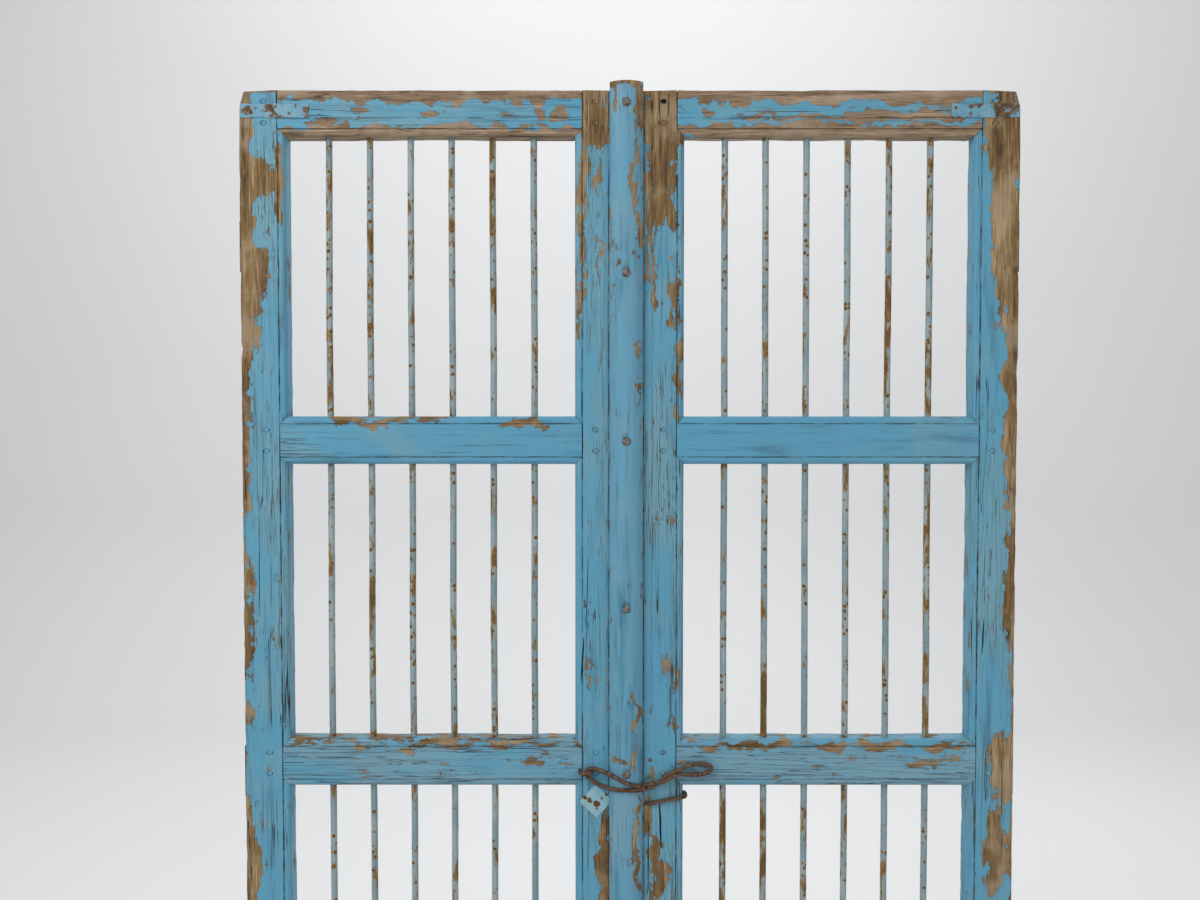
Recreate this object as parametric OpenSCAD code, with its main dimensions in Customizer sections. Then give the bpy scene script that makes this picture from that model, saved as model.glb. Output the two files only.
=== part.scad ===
// Pair of barred double doors. Each leaf is a pegged frame of moulded stiles and rails
// with upright iron bars. A rounded strip on the left leaf covers the meeting edge, and a
// bent wire latch reaches across it. Front is -Y, and the leaves open towards +Y.

/* [Leaves] */
// Width of the left leaf
left_leaf_w = 592; // [560:1:680]
// Width of the right leaf
right_leaf_w = 570; // [540:1:660]
// Height of both leaves
leaf_h = 2060; // [1800:5:2400]
// Thickness of the stiles and rails
leaf_t = 38; // [34:1:46]
// Gap between the leaves where they meet
meeting_gap = 6; // [5:0.5:9]

/* [Stiles and rails] */
// Width of the hinge stiles and of the right meeting stile
stile_w = 68; // [62:1:78]
// Width of the left meeting stile, which carries the strip
strip_stile_w = 90; // [86:1:104]
// Width of the top rail
top_rail_w = 68; // [64:1:84]
// Width of a middle rail
mid_rail_w = 72; // [66:1:90]
// Width of the bottom rail
bottom_rail_w = 101; // [80:1:130]
// Number of middle rails
mid_rails = 3; // [2:1:4]
// Width of the moulding round each opening
mould_w = 11; // [9:0.5:13]
// Depth of the moulding
mould_d = 9; // [7:0.5:10]
// Step from the face down to the moulding
mould_step = 1.5; // [1:0.25:2.5]
// Thickness of a tenon
tenon_t = 12; // [8:1:14]
// Length of a tenon inside its stile
tenon_l = 45; // [38:1:52]
// Diameter of a tenon peg
peg_d = 8; // [5:0.5:9]
// Distance of the pegs from the shoulder of the rail
peg_inset = 20; // [14:1:26]
// Height between the two pegs of a joint
peg_spread = 32; // [24:1:36]

/* [Bars] */
// Number of bars in a leaf
bars = 6; // [4:1:7]
// Diameter of a bar
bar_d = 10; // [7:0.5:14]
// Depth of a bar's seat in the top and bottom rails
bar_seat = 30; // [15:1:45]

/* [Cover strip] */
// Width of the strip
strip_w = 50; // [44:1:56]
// Height of the strip's edges
strip_edge = 7; // [5:0.5:10]
// Height of the strip's crown
strip_rise = 20; // [16:0.5:24]
// Length of the strip above the leaf
strip_over = 10; // [2:1:25]
// Lap of the strip over the right leaf
strip_lap = 6; // [2:0.5:9]
// Number of nails along the strip
strip_nails = 9; // [5:1:12]
// Distance of the top nail below the top of the leaf
nail_top = 22; // [15:1:40]
// Distance of the lowest nail above the bottom of the leaf
nail_bottom = 30; // [15:1:60]
// Diameter of a nail head
nail_head_d = 13; // [9:0.5:14]
// Height of a nail head
nail_head_h = 3.5; // [2:0.25:5]
// Diameter of a nail shank
nail_d = 5; // [3:0.25:6]

/* [Sheet iron] */
// Thickness of the straps and the plate
sheet_t = 1.2; // [0.8:0.1:2]
// Length of a corner strap
strap_l = 105; // [90:1:130]
// Height of a corner strap
strap_h = 21; // [16:1:26]
// Distance of a strap below the top of the leaf
strap_drop = 20; // [12:1:28]
// Side of the square plate beside the strip
plate_side = 37; // [30:1:42]
// Distance of the plate's middle below the latch
plate_drop = 46; // [42:1:60]
// Diameter of a tack head
tack_head_d = 5; // [3.5:0.25:6]
// Height of a tack head
tack_head_h = 1.2; // [0.8:0.1:2]
// Diameter of a tack shank
tack_d = 2.5; // [1.5:0.25:3]
// Length of a tack in the wood
tack_l = 10; // [6:0.5:11]

/* [Latch] */
// Length of the latch loop between its end bends
latch_l = 190; // [170:1:220]
// Diameter of the latch and binding wire
wire_d = 6; // [4.5:0.25:6.5]
// Height of the loop's wide end, to the middle of the wire
latch_wide = 23; // [20:0.5:28]
// Height of the loop's eye, to the middle of the wire
latch_eye = 17; // [14:0.5:20]
// Rise from the lowest bend of the loop to its free end
latch_fall = 27; // [15:1:32]
// Distance of the loop's wire from the face of the leaves
latch_stand = 7.5; // [7:0.25:9]
// Distance of the loop's pivot from the strip
latch_reach = 36; // [34:0.5:38]
// Distance of the loop's lowest bend below the strip nail above it
latch_drop = 20.5; // [20:0.5:28]
// Width between the staple's legs
staple_w = 18; // [16:0.5:20]
// Diameter of the staple's wire
staple_d = 5; // [3.5:0.25:5.5]
// Depth of the staple in the wood
staple_depth = 11; // [7:0.5:11.5]
// Depth of the binding wire's ends in the wood
binding_depth = 20; // [12:1:26]
// Distance of the binding wire's left end below the pivot of the loop
binding_drop = 50; // [44:1:70]
// Slope of the binding wire across its stile, in degrees
binding_slope = 11; // [0:1:20]

/* [Hinges] */
// Height of a hinge
hinge_h = 76; // [60:1:110]
// Width of a hinge flap on its stile
flap_w = 22; // [18:1:30]
// Thickness of a hinge flap
flap_t = 3; // [2:0.25:4]
// Gap between a pair of flaps
flap_gap = 2; // [1.5:0.25:3]
// Diameter of a hinge pin
pin_d = 4.5; // [3:0.25:5]
// Distance of the pin behind the back of the leaf
pin_stand = 5; // [4.75:0.25:8]
// Distance of the end hinges from the ends of the leaf
hinge_end = 230; // [150:5:320]
// Height between the outer screws of a flap
screw_spread = 54; // [40:1:56]
// Diameter of a screw hole
screw_d = 4.4; // [3:0.2:5]
// Length of a screw
screw_l = 20; // [12:1:22]

/* [Hidden] */
$fn = 48;
overrun = 1;
hole_fit = 0.15;
wood_gap = 0.4;
bar_fit = 0.3;
run_gap = 0.4;
pin_fit = 0.08;
latch_clear = 0.6;
strand_gap = 0.4;
strip_relief = 0.6;
tenon_haunch = 8;
head_sink = 1;
nail_depth = 20;
stile_nail_side = 9;
stile_nail_rise = 26;
wire_sides = 12;
loop_steps = 48;

// Main planes
pair_w = left_leaf_w + meeting_gap + right_leaf_w;
left_x = -pair_w / 2;
right_x = pair_w / 2;
left_meet_x = left_x + left_leaf_w;
right_meet_x = right_x - right_leaf_w;
strip_right_x = right_meet_x + strip_lap;
strip_left_x = strip_right_x - strip_w;
wire_r = wire_d / 2;
strip_half = strip_w / 2;
strip_crown = strip_rise - strip_edge;
strip_r = (pow(strip_half, 2) + pow(strip_crown, 2)) / (2 * strip_crown);
knuckle_r = flap_gap / 2 + flap_t;
front_reach = loop_stand(strip_half) + wire_r;
back_reach = pin_stand + knuckle_r;
front_y = (front_reach - leaf_t - back_reach) / 2;
back_y = front_y + leaf_t;
left_open = left_leaf_w - stile_w - strip_stile_w;
right_open = right_leaf_w - 2 * stile_w;
ovolo_r = mould_d - mould_step;

// Rails are counted from the top, 0 being the top rail
last_rail = mid_rails + 1;
bays_h = leaf_h - top_rail_w - bottom_rail_w - mid_rails * mid_rail_w;
bay_h = bays_h / (mid_rails + 1);
function rail_w(i) = i == 0 ? top_rail_w : i == last_rail ? bottom_rail_w : mid_rail_w;
function rail_low(i) = i == last_rail ? 0 : leaf_h - top_rail_w - i * (bay_h + mid_rail_w);
function rail_high(i) = rail_low(i) + rail_w(i);
function rail_mid(i) = (rail_low(i) + rail_high(i)) / 2;
function tenon_low(i) = rail_low(i) + (i == last_rail ? tenon_haunch : mould_w);
function tenon_high(i) = rail_high(i) - (i == 0 ? tenon_haunch : mould_w);
function tenon_mid(i) = (tenon_low(i) + tenon_high(i)) / 2;
function bar_x(k, open) = open * k / (bars + 1);

nail_pitch = (leaf_h - nail_top - nail_bottom) / (strip_nails - 1);
function nail_z(k) = nail_bottom + k * nail_pitch;

// The latch hangs under the strip nail that is nearest to its rail
latch_rail = 2;
latch_nail = round((rail_mid(latch_rail) - nail_bottom) / nail_pitch);
latch_z = nail_z(latch_nail) - latch_drop;
wide_share = 0.135;
join_share = 0.42;
twist_start_share = 0.5;
twist_end_share = 0.68;
part_share = 0.71;
eye_share = 0.895;
pair_half = wire_r + strand_gap / 2;
// Share along the loop, then share of its rise
rise_shares = [
    [0, 0.77],
    [0.135, 0.44],
    [0.32, 0.15],
    [0.42, 0],
    [0.555, 0.1],
    [0.71, 0.71],
    [0.84, 0.9],
    [1, 1]
];
pivot_x = strip_left_x - latch_reach;
pivot_y = front_y - loop_stand(-latch_reach);
pivot_z = latch_z + loop_rise(0);

// Places of the tacks, as shares of the strap and of the plate
strap_tack_shares = [[0.1, 0.3], [0.24, 0.68], [0.72, 0.3], [0.93, 0.7]];
plate_tack_shares = [[-0.28, 0.1], [0.02, -0.3], [0.22, 0.12]];

plate_mid_share = 0.55;
plate_turn = 48;

// Binding wire, drawn level from its left leg and then turned to its slope
binding_start = strip_right_x + wire_d;
binding_stand = wire_r + wood_gap;
binding_bend = wire_d;
binding_back = leaf_t / 2;
binding_span = (right_meet_x + stile_w + binding_stand - binding_start) / cos(binding_slope);

// Hinge places, counted from the bottom
hinge_spots = ["bottom", "middle", "top"];
function hinge_z(i) = hinge_end + i * (leaf_h - 2 * hinge_end) / 2;
knuckles = 5;
knuckle_h = hinge_h / knuckles;
screw_y_share = 0.45;
middle_screw_y_share = 0.28;
sink_r = screw_d / 2 + flap_t / 2;

// Names of every piece
function numbered(stem, count) = [for (i = [1 : count]) str(stem, i)];
function hinge_names(side, part) = [for (s = hinge_spots) str(side, "_", s, "_hinge_", part)];
function leaf_names(side) = concat(
    [str(side, "_hinge_stile"), str(side, "_meeting_stile"), str(side, "_top_rail")],
    numbered(str(side, "_middle_rail_"), mid_rails),
    [str(side, "_bottom_rail")],
    numbered(str(side, "_bar_"), bars),
    [str(side, "_tenon_pegs"), str(side, "_corner_strap"), str(side, "_strap_tacks")],
    hinge_names(side, "plate"),
    hinge_names(side, "flap"),
    [str(side, "_hinge_pins"), str(side, "_hinge_screws")]
);

paint = "#4f9dc4";
iron = "#6d4a34";
painted_iron = "#7da6b0";
peg_wood = "#8a7258";

// Curves of the latch loop

function mix(a, b, t) = a + (b - a) * t;
function smooth(t) = t * t * (3 - 2 * t);
function slope(t, i) =
    let (a = max(i - 1, 0), b = min(i + 1, len(t) - 1))
        (t[b][1] - t[a][1]) / (t[b][0] - t[a][0]);

// Smooth curve through the points of a table
function curve(t, s, i = 0) =
    i < len(t) - 2 && s > t[i + 1][0]
        ? curve(t, s, i + 1)
        : let (w = t[i + 1][0] - t[i][0], u = (s - t[i][0]) / w)
            (1 - u) * (1 - u) * ((1 + 2 * u) * t[i][1] + u * w * slope(t, i))
            + u * u * ((3 - 2 * u) * t[i + 1][1] - (1 - u) * w * slope(t, i + 1));

function loop_rise(s) = latch_fall * curve(rise_shares, s);

// Stand of the loop's wire off the leaf: level, and arched over the strip
function loop_stand(x) =
    let (arch = strip_rise + latch_clear + wire_r - pow(x - strip_half, 2) / (2 * (strip_r + wire_r)))
        (latch_stand + arch + sqrt(pow(latch_stand - arch, 2) + pow(wire_d, 2))) / 2;

// Half the height between the two strands
function loop_half(s) =
    s < wide_share ? latch_wide / 2 * sqrt(max(0, 1 - pow(1 - s / wide_share, 2)))
    : s < join_share ? mix(latch_wide / 2, pair_half, smooth((s - wide_share) / (join_share - wide_share)))
    : s < part_share ? pair_half
    : s < eye_share ? mix(pair_half, latch_eye / 2, smooth((s - part_share) / (eye_share - part_share)))
    : latch_eye / 2 * sqrt(max(0, 1 - pow((s - eye_share) / (1 - eye_share), 2)));

// The strands swap places in one half turn
function loop_turn(s) =
    180 * smooth(min(1, max(0, (s - twist_start_share) / (twist_end_share - twist_start_share))));

function loop_point(s, side) =
    let (x = latch_l * s, half = side * loop_half(s), turn = loop_turn(s))
        [
            pivot_x + x,
            front_y - loop_stand(x - latch_reach) - half * sin(turn),
            latch_z + loop_rise(s) + half * cos(turn),
        ];

function loop_share(i) = (1 - cos(180 * i / loop_steps)) / 2;
function loop_path() = concat(
    [for (i = [0 : loop_steps]) loop_point(loop_share(i), 1)],
    [for (i = [loop_steps - 1 : -1 : 1]) loop_point(loop_share(i), -1)]
);

// Wire swept along a path

function unit(v) = v / norm(v);
function ring(p, along, across, r) =
    let (u = unit(cross(along, across)), v = unit(cross(u, along)))
        [for (k = [0 : wire_sides - 1]) let (a = 360 * k / wire_sides) p + r * (cos(a) * u + sin(a) * v)];

// Closed wire through all points, whose bends lie square to the given direction
module closed_wire(path, across, r) {
    n = len(path);
    rings = [
        for (i = [0 : n - 1])
            each ring(path[i], path[(i + 1) % n] - path[(i + n - 1) % n], across, r)
    ];
    faces = [
        for (i = [0 : n - 1], k = [0 : wire_sides - 1])
            let (a = i * wire_sides, b = (i + 1) % n * wire_sides, m = (k + 1) % wire_sides)
                [a + k, a + m, b + m, b + k]
    ];
    polyhedron(points = rings, faces = faces);
}

// Sections

// What is cut from a square corner to leave a step and a quarter round
module moulding_waste() {
    difference() {
        translate([-mould_w, -overrun]) square([mould_w + overrun, mould_d + overrun]);
        translate([-mould_w, mould_step]) square([mould_w - ovolo_r, mould_d]);
        translate([-ovolo_r, mould_d]) circle(ovolo_r);
    }
}

module board_section(width, near_moulded, far_moulded) {
    difference() {
        square([width, leaf_t]);
        if (far_moulded) translate([width, 0]) moulding_waste();
        if (near_moulded) mirror([1, 0]) moulding_waste();
    }
}

module strip_section() {
    intersection() {
        translate([-strip_half, 0]) square([strip_w, strip_rise + overrun]);
        translate([0, strip_rise - strip_r]) circle(strip_r);
    }
}

// Fasteners, with the face of the wood at y = 0 and the shank along +Y

module along_y(from, to, d) {
    translate([0, from, 0]) rotate([-90, 0, 0]) cylinder(d = d, h = to - from);
}

module domed_head(d, h) {
    r = (pow(d / 2, 2) + pow(h, 2)) / (2 * h);
    intersection() {
        translate([0, r - h, 0]) sphere(r);
        along_y(-h - overrun, 0, d + overrun);
    }
}

module round_nail(head_d, head_h, shank_d, shank_l) {
    domed_head(head_d, head_h);
    along_y(-overrun / 2, shank_l, shank_d);
}

module nail_spot(x, z) {
    translate([x, front_y, z]) children();
}

// Frame joints, measured from the edge of the opening into the stile

// Front tongue of a rail, mitred into the moulding of the stile
module tongue(i, depth, shoulder_gap) {
    mitre = shoulder_gap * sqrt(2);
    reach = mould_w - shoulder_gap;
    low = rail_low(i) + (i == last_rail ? 0 : mitre);
    high = rail_high(i) - (i == 0 ? 0 : mitre);
    low_cut = i == last_rail ? 0 : reach;
    high_cut = i == 0 ? 0 : reach;
    translate([0, mould_d, 0]) rotate([90, 0, 0]) linear_extrude(height = depth)
        polygon([[0, low], [-reach, low + low_cut], [-reach, high - high_cut], [0, high]]);
}

module tenon(i, extra) {
    translate([-tenon_l - extra, (leaf_t - tenon_t) / 2 - extra, tenon_low(i) - extra])
        cube([tenon_l + 2 * extra, tenon_t + 2 * extra, tenon_high(i) - tenon_low(i) + 2 * extra]);
}

module peg_pair(i, extra, pegs = [-1, 1]) {
    for (s = pegs)
        translate([-mould_w - peg_inset, 0, tenon_mid(i) + s * peg_spread / 2])
            along_y(-extra, leaf_t + extra, peg_d + 2 * min(extra, hole_fit));
}

module stile(width) {
    difference() {
        linear_extrude(height = leaf_h) board_section(width, false, true);
        translate([width, 0, 0]) {
            for (i = [0 : last_rail]) {
                tongue(i, mould_d + overrun, 0);
                tenon(i, hole_fit);
                peg_pair(i, overrun);
            }
        }
    }
}

module rail(i, open) {
    length = open + 2 * mould_w;
    difference() {
        union() {
            intersection() {
                translate([-mould_w, 0, rail_low(i)]) rotate([90, 0, 90]) linear_extrude(height = length)
                    mirror([1, -1]) board_section(rail_w(i), i < last_rail, i > 0);
                union() {
                    translate([0, 0, rail_low(i)]) cube([open, leaf_t, rail_w(i)]);
                    tongue(i, mould_d, wood_gap);
                    translate([open, 0, 0]) mirror([1, 0, 0]) tongue(i, mould_d, wood_gap);
                }
            }
            tenon(i, 0);
            translate([open, 0, 0]) mirror([1, 0, 0]) tenon(i, 0);
        }
        peg_pair(i, overrun);
        translate([open, 0, 0]) mirror([1, 0, 0]) peg_pair(i, overrun);
        for (k = [1 : bars]) bar_hole(i, bar_x(k, open));
    }
}

// Bars stand in blind holes in the end rails and pass through the middle rails
module bar_hole(i, x) {
    low = i == last_rail ? rail_high(i) - bar_seat : rail_low(i) - overrun;
    high = i == 0 ? rail_low(i) + bar_seat : rail_high(i) + overrun;
    translate([x, leaf_t / 2, low]) cylinder(d = bar_d + 2 * bar_fit, h = high - low);
}

module bar(x) {
    low = rail_high(last_rail) - bar_seat;
    high = rail_low(0) + bar_seat - bar_fit;
    translate([x, back_y - leaf_t / 2, low]) cylinder(d = bar_d, h = high - low);
}

// Pegs of one leaf, from the outer edge inwards. The uppermost one at the meeting stile may be lost.
module tenon_pegs(side, open, lost) {
    color(peg_wood) at_side(side) translate([stile_w, front_y, 0]) for (i = [0 : last_rail]) {
        peg_pair(i, 0);
        translate([open, 0, 0]) mirror([1, 0, 0]) peg_pair(i, 0, lost && i == 0 ? [-1] : [-1, 1]);
    }
}

// Hinges, measured from the outer edge and the back of the left leaf

function knuckle_low(k) = -hinge_h / 2 + k * knuckle_h;

module knuckle_row(first, r, extra) {
    for (k = [first : 2 : knuckles - 1])
        translate([-flap_gap / 2, pin_stand, knuckle_low(k) - extra + run_gap / 2])
            cylinder(r = r, h = knuckle_h - run_gap + 2 * extra);
}

module screw_places() {
    for (s = [-1, 0, 1])
        translate([0, -flap_w * (s == 0 ? middle_screw_y_share : screw_y_share), s * screw_spread / 2])
            rotate([0, 90, 0]) children();
}

// One flap: the leaf's own starts at x = 0, and the frame's lies across the gap
module flap(first_knuckle, x, sink_from, sink_way) {
    difference() {
        union() {
            difference() {
                translate([x, -flap_w, -hinge_h / 2]) cube([flap_t, flap_w + pin_stand, hinge_h]);
                knuckle_row(1 - first_knuckle, knuckle_r + run_gap, run_gap);
            }
            knuckle_row(first_knuckle, knuckle_r, 0);
        }
        translate([-flap_gap / 2, pin_stand, -hinge_h]) cylinder(d = pin_d + 2 * pin_fit, h = 2 * hinge_h);
        screw_places() {
            translate([0, 0, x - overrun]) cylinder(d = screw_d, h = flap_t + 2 * overrun);
            translate([0, 0, sink_from]) mirror([0, 0, sink_way]) screw_sink(0);
        }
    }
}

module screw_sink(extra) {
    cylinder(r1 = sink_r + extra, r2 = screw_d / 2, h = flap_t / 2 + extra);
}

module screw(extra) {
    screw_sink(0);
    cylinder(d = screw_d - 2 * hole_fit + 2 * extra, h = screw_l + extra);
}

module hinge_recess() {
    translate([-overrun, leaf_t - flap_w, -hinge_h / 2]) cube([flap_t + overrun, flap_w + overrun, hinge_h]);
    translate([0, leaf_t, 0]) screw_places() screw(hole_fit);
}

module hinge_pin() {
    translate([-flap_gap / 2, pin_stand, -hinge_h / 2]) cylinder(d = pin_d, h = hinge_h);
}

// Puts a piece drawn for the left side on either side
module at_side(side) {
    if (side == "left") translate([left_x, 0, 0]) children();
    else translate([right_x, 0, 0]) mirror([1, 0, 0]) children();
}

module at_hinge(side, i) {
    at_side(side) translate([0, back_y, hinge_z(i)]) children();
}

// Left and right leaf

module strap_tack_places() {
    for (p = strap_tack_shares)
        translate([p[0] * strap_l, 0, leaf_h - strap_drop - strap_h * (1 - p[1])]) children();
}

module tack(extra) {
    translate([0, -sheet_t, 0])
        round_nail(tack_head_d, tack_head_h, tack_d + 2 * extra, sheet_t + tack_l + extra);
}

module hinge_stile(side) {
    color(paint) at_side(side) translate([0, front_y, 0]) difference() {
        stile(stile_w);
        for (i = [0 : len(hinge_spots) - 1]) translate([0, 0, hinge_z(i)]) hinge_recess();
        strap_tack_places() tack(hole_fit);
    }
}

module top_rail(side, open) {
    color(paint) at_side(side) translate([stile_w, front_y, 0]) difference() {
        rail(0, open);
        translate([-stile_w, 0, 0]) strap_tack_places() tack(hole_fit);
    }
}

module plain_rail(side, open, i) {
    color(paint) difference() {
        at_side(side) translate([stile_w, front_y, 0]) rail(i, open);
        if (side == "left") staple_legs(hole_fit);
    }
}

module leaf_bar(side, open, k) {
    color(painted_iron) at_side(side) bar(stile_w + bar_x(k, open));
}

module left_meeting_stile() {
    color(paint) difference() {
        translate([left_meet_x, front_y, 0]) mirror([1, 0, 0]) stile(strip_stile_w);
        strip_nail_places() along_y(-overrun, nail_depth + hole_fit, nail_d + 2 * hole_fit);
        staple_legs(hole_fit);
        plate_tack_places() tack(hole_fit);
    }
}

module right_meeting_stile() {
    color(paint) difference() {
        translate([right_meet_x, front_y, 0]) stile(stile_w);
        stile_nail_places() along_y(-overrun, nail_depth + hole_fit, tack_d + 2 * hole_fit);
        binding_shape(hole_fit);
    }
}

module corner_strap(side) {
    color(painted_iron) at_side(side) translate([0, front_y, 0]) difference() {
        translate([0, -sheet_t, leaf_h - strap_drop - strap_h]) cube([strap_l, sheet_t, strap_h]);
        strap_tack_places() along_y(-sheet_t - overrun, overrun, tack_d + 2 * hole_fit);
    }
}

module strap_tacks(side) {
    color(iron) at_side(side) translate([0, front_y, 0]) strap_tack_places() tack(0);
}

module hinge_plate(side, i) {
    color(iron) at_hinge(side, i) flap(0, -flap_gap - flap_t, -flap_gap, 1);
}

module hinge_flap(side, i) {
    color(iron) at_hinge(side, i) flap(1, 0, 0, 0);
}

module hinge_pins(side) {
    color(iron) for (i = [0 : len(hinge_spots) - 1]) at_hinge(side, i) hinge_pin();
}

module hinge_screws(side) {
    color(iron) for (i = [0 : len(hinge_spots) - 1]) at_hinge(side, i) screw_places() screw(0);
}

// Cover strip

module strip_nail_places() {
    for (k = [0 : strip_nails - 1])
        nail_spot(strip_left_x + strip_half, nail_z(k)) children();
}

module cover_strip() {
    color(paint) difference() {
        translate([strip_left_x + strip_half, front_y, 0]) mirror([0, 1, 0])
            linear_extrude(height = leaf_h + strip_over) strip_section();
        translate([left_meet_x, front_y - strip_relief, -overrun])
            cube([strip_w, strip_relief + overrun, leaf_h + strip_over + 2 * overrun]);
        strip_nail_places() along_y(-strip_rise - overrun, overrun, nail_d + 2 * hole_fit);
        strip_nail_places()
            along_y(-strip_rise - overrun, head_sink - strip_rise, nail_head_d + 2 * hole_fit);
    }
}

module strip_nails() {
    sunk_y = head_sink - strip_rise;
    color(iron) strip_nail_places() translate([0, sunk_y, 0])
        round_nail(nail_head_d, nail_head_h, nail_d, nail_depth - sunk_y);
}

// Latch

module latch_loop() {
    color(iron) closed_wire(loop_path(), [0, 1, 0], wire_r);
}

module staple_legs(extra) {
    for (s = [-1, 1])
        translate([pivot_x + s * staple_w / 2, 0, pivot_z])
            along_y(pivot_y, front_y + staple_depth + extra, staple_d + 2 * extra);
}

module latch_staple() {
    color(iron) union() {
        staple_legs(0);
        translate([pivot_x, pivot_y, pivot_z]) rotate([0, 0, 180]) rotate_extrude(angle = 180)
            translate([staple_w / 2, 0]) circle(d = staple_d);
    }
}

module plate_place() {
    nail_spot(strip_left_x - plate_mid_share * plate_side, pivot_z - plate_drop) children();
}

module plate_tack_places() {
    for (p = plate_tack_shares)
        plate_place() translate([p[0] * plate_side, 0, p[1] * plate_side]) children();
}

// A square of sheet iron set cornerwise, its right corner cut off along the strip
module latch_plate() {
    color(painted_iron) difference() {
        plate_place() rotate([0, -plate_turn, 0]) translate([-plate_side / 2, -sheet_t, -plate_side / 2])
            cube([plate_side, sheet_t, plate_side]);
        translate([strip_left_x - wood_gap, front_y - sheet_t - overrun, latch_z - leaf_h / 2])
            cube([strip_w, sheet_t + 2 * overrun, leaf_h]);
        plate_tack_places() along_y(-sheet_t - overrun, overrun, tack_d + 2 * hole_fit);
    }
}

module plate_tacks() {
    color(iron) plate_tack_places() tack(0);
}

// Two nails in the right meeting stile, one close above the loop and one higher up
module stile_nail_places() {
    x = strip_right_x + stile_nail_side;
    z = pivot_z - stile_nail_side;
    nail_spot(x, z) children();
    nail_spot(x + wire_r, z + stile_nail_rise) children();
}

module stile_nails() {
    color(iron) stile_nail_places() round_nail(nail_head_d / 2, nail_head_h / 2, tack_d, nail_depth);
}

// A wire bent over the right meeting stile, with both ends driven into the wood

module binding_frame() {
    translate([binding_start, front_y, pivot_z - binding_drop])
        rotate([0, -binding_slope, 0]) children();
}

module bend(turn, d) {
    rotate([0, 0, turn]) rotate_extrude(angle = 90) translate([binding_bend, 0]) circle(d = d);
}

// Left leg, front run, return along the opening and right leg, with a bend between each two
module binding_shape(extra) {
    d = wire_d + 2 * extra;
    front = -binding_stand;
    turn_x = binding_span - binding_bend;
    turn_y = binding_bend - binding_stand;
    binding_frame() {
        along_y(turn_y, binding_depth + extra, d);
        translate([binding_bend, turn_y, 0]) bend(180, d);
        translate([binding_bend, front, 0]) rotate([0, 90, 0])
            cylinder(d = d, h = turn_x - binding_bend);
        translate([turn_x, turn_y, 0]) bend(270, d);
        translate([binding_span, 0, 0]) along_y(turn_y, binding_back - binding_bend, d);
        translate([turn_x, binding_back - binding_bend, 0]) bend(0, d);
        translate([turn_x, binding_back, 0]) rotate([0, -90, 0]) cylinder(d = d, h = binding_depth + extra);
    }
}

module binding_wire() {
    color(iron) union() binding_shape(0);
}

// Every piece, one at a time or all together

for (side = ["left", "right"]) {
    open = side == "left" ? left_open : right_open;
    hinge_stile(side);
    top_rail(side, open);
    for (i = [1 : mid_rails])
        plain_rail(side, open, i);
    plain_rail(side, open, last_rail);
    for (k = [1 : bars])
        leaf_bar(side, open, k);
    tenon_pegs(side, open, side == "right");
    corner_strap(side);
    strap_tacks(side);
    for (i = [0 : len(hinge_spots) - 1]) {
        hinge_plate(side, i);
        hinge_flap(side, i);
    }
    hinge_pins(side);
    hinge_screws(side);
}
left_meeting_stile();
cover_strip();
strip_nails();
latch_staple();
latch_loop();
latch_plate();
plate_tacks();
right_meeting_stile();
stile_nails();
binding_wire();
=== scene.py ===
"""Looks of a pair of worn, barred double doors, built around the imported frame.

Every length is in metres, in the frame's own axes: +X right, +Y into the building, +Z up.
Wood pieces keep the frame's joinery but get rubbed arrises, and the bars, nails, pegs and
tacks are made again by geometry nodes. Paint, bare wood and rust are node materials.
"""

import logging
import math
from dataclasses import dataclass
from enum import Enum
from typing import Any

import bmesh
import bpy
from mathutils import Matrix, Vector, noise


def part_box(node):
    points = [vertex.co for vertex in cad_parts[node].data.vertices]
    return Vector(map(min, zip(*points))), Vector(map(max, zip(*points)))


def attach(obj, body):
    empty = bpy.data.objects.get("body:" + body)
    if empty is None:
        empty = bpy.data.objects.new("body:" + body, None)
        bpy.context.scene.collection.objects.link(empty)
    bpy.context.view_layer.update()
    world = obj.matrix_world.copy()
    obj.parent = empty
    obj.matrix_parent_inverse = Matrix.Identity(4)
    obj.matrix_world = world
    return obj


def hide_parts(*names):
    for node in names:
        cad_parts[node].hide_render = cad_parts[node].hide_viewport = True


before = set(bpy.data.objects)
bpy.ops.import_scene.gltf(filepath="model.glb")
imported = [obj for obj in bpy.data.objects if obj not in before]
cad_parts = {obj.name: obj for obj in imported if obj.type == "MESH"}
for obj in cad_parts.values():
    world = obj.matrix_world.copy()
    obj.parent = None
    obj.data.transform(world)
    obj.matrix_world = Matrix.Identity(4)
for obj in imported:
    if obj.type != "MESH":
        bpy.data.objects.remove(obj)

LOG = logging.getLogger("barred_doors")
Colour = tuple[float, float, float]
Place = tuple[float, float, float]

# Limits of the mesh work

WELD_DISTANCE = 1e-5
SLIVER = 1e-4
CUT_DISTANCE = 1e-6
CUT_CLEAR = 0.0008
NARROW_FACE = 0.003
FLAT_ANGLE = math.radians(1)
ARRIS_ANGLE = math.radians(50)
ALONG_SHARE = 0.9
LONG_WAVE_SHARE = 0.6
SHORT_WAVE_SHARE = 0.5
WORN_EVERYWHERE = 0.15

# Fineness and turns of the repeated pieces

BAR_STEPS = 260
BAR_SIDES = 14
HEAD_SEGMENTS = 28
HEAD_RINGS = 18
HEAD_HEIGHT_SHARE = 0.55
HEAD_SINK_SHARE = 1.05
HEAD_DENT_SHARE = 0.10
PEG_SIDES = 20
PEG_STEPS = 4
PEG_RINGS = 3
HEAD_TILT = 0.10
ANY_TURN = 3.1


class Grain(Enum):
    """Which way the wood of a piece runs."""

    UPRIGHT = 0.0
    LEVEL = 1.0


class Body(str, Enum):
    """Moving bodies of the frame that the new pieces ride on."""

    LEFT = "left_leaf"
    RIGHT = "right_leaf"
    LATCH = "latch"


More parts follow.
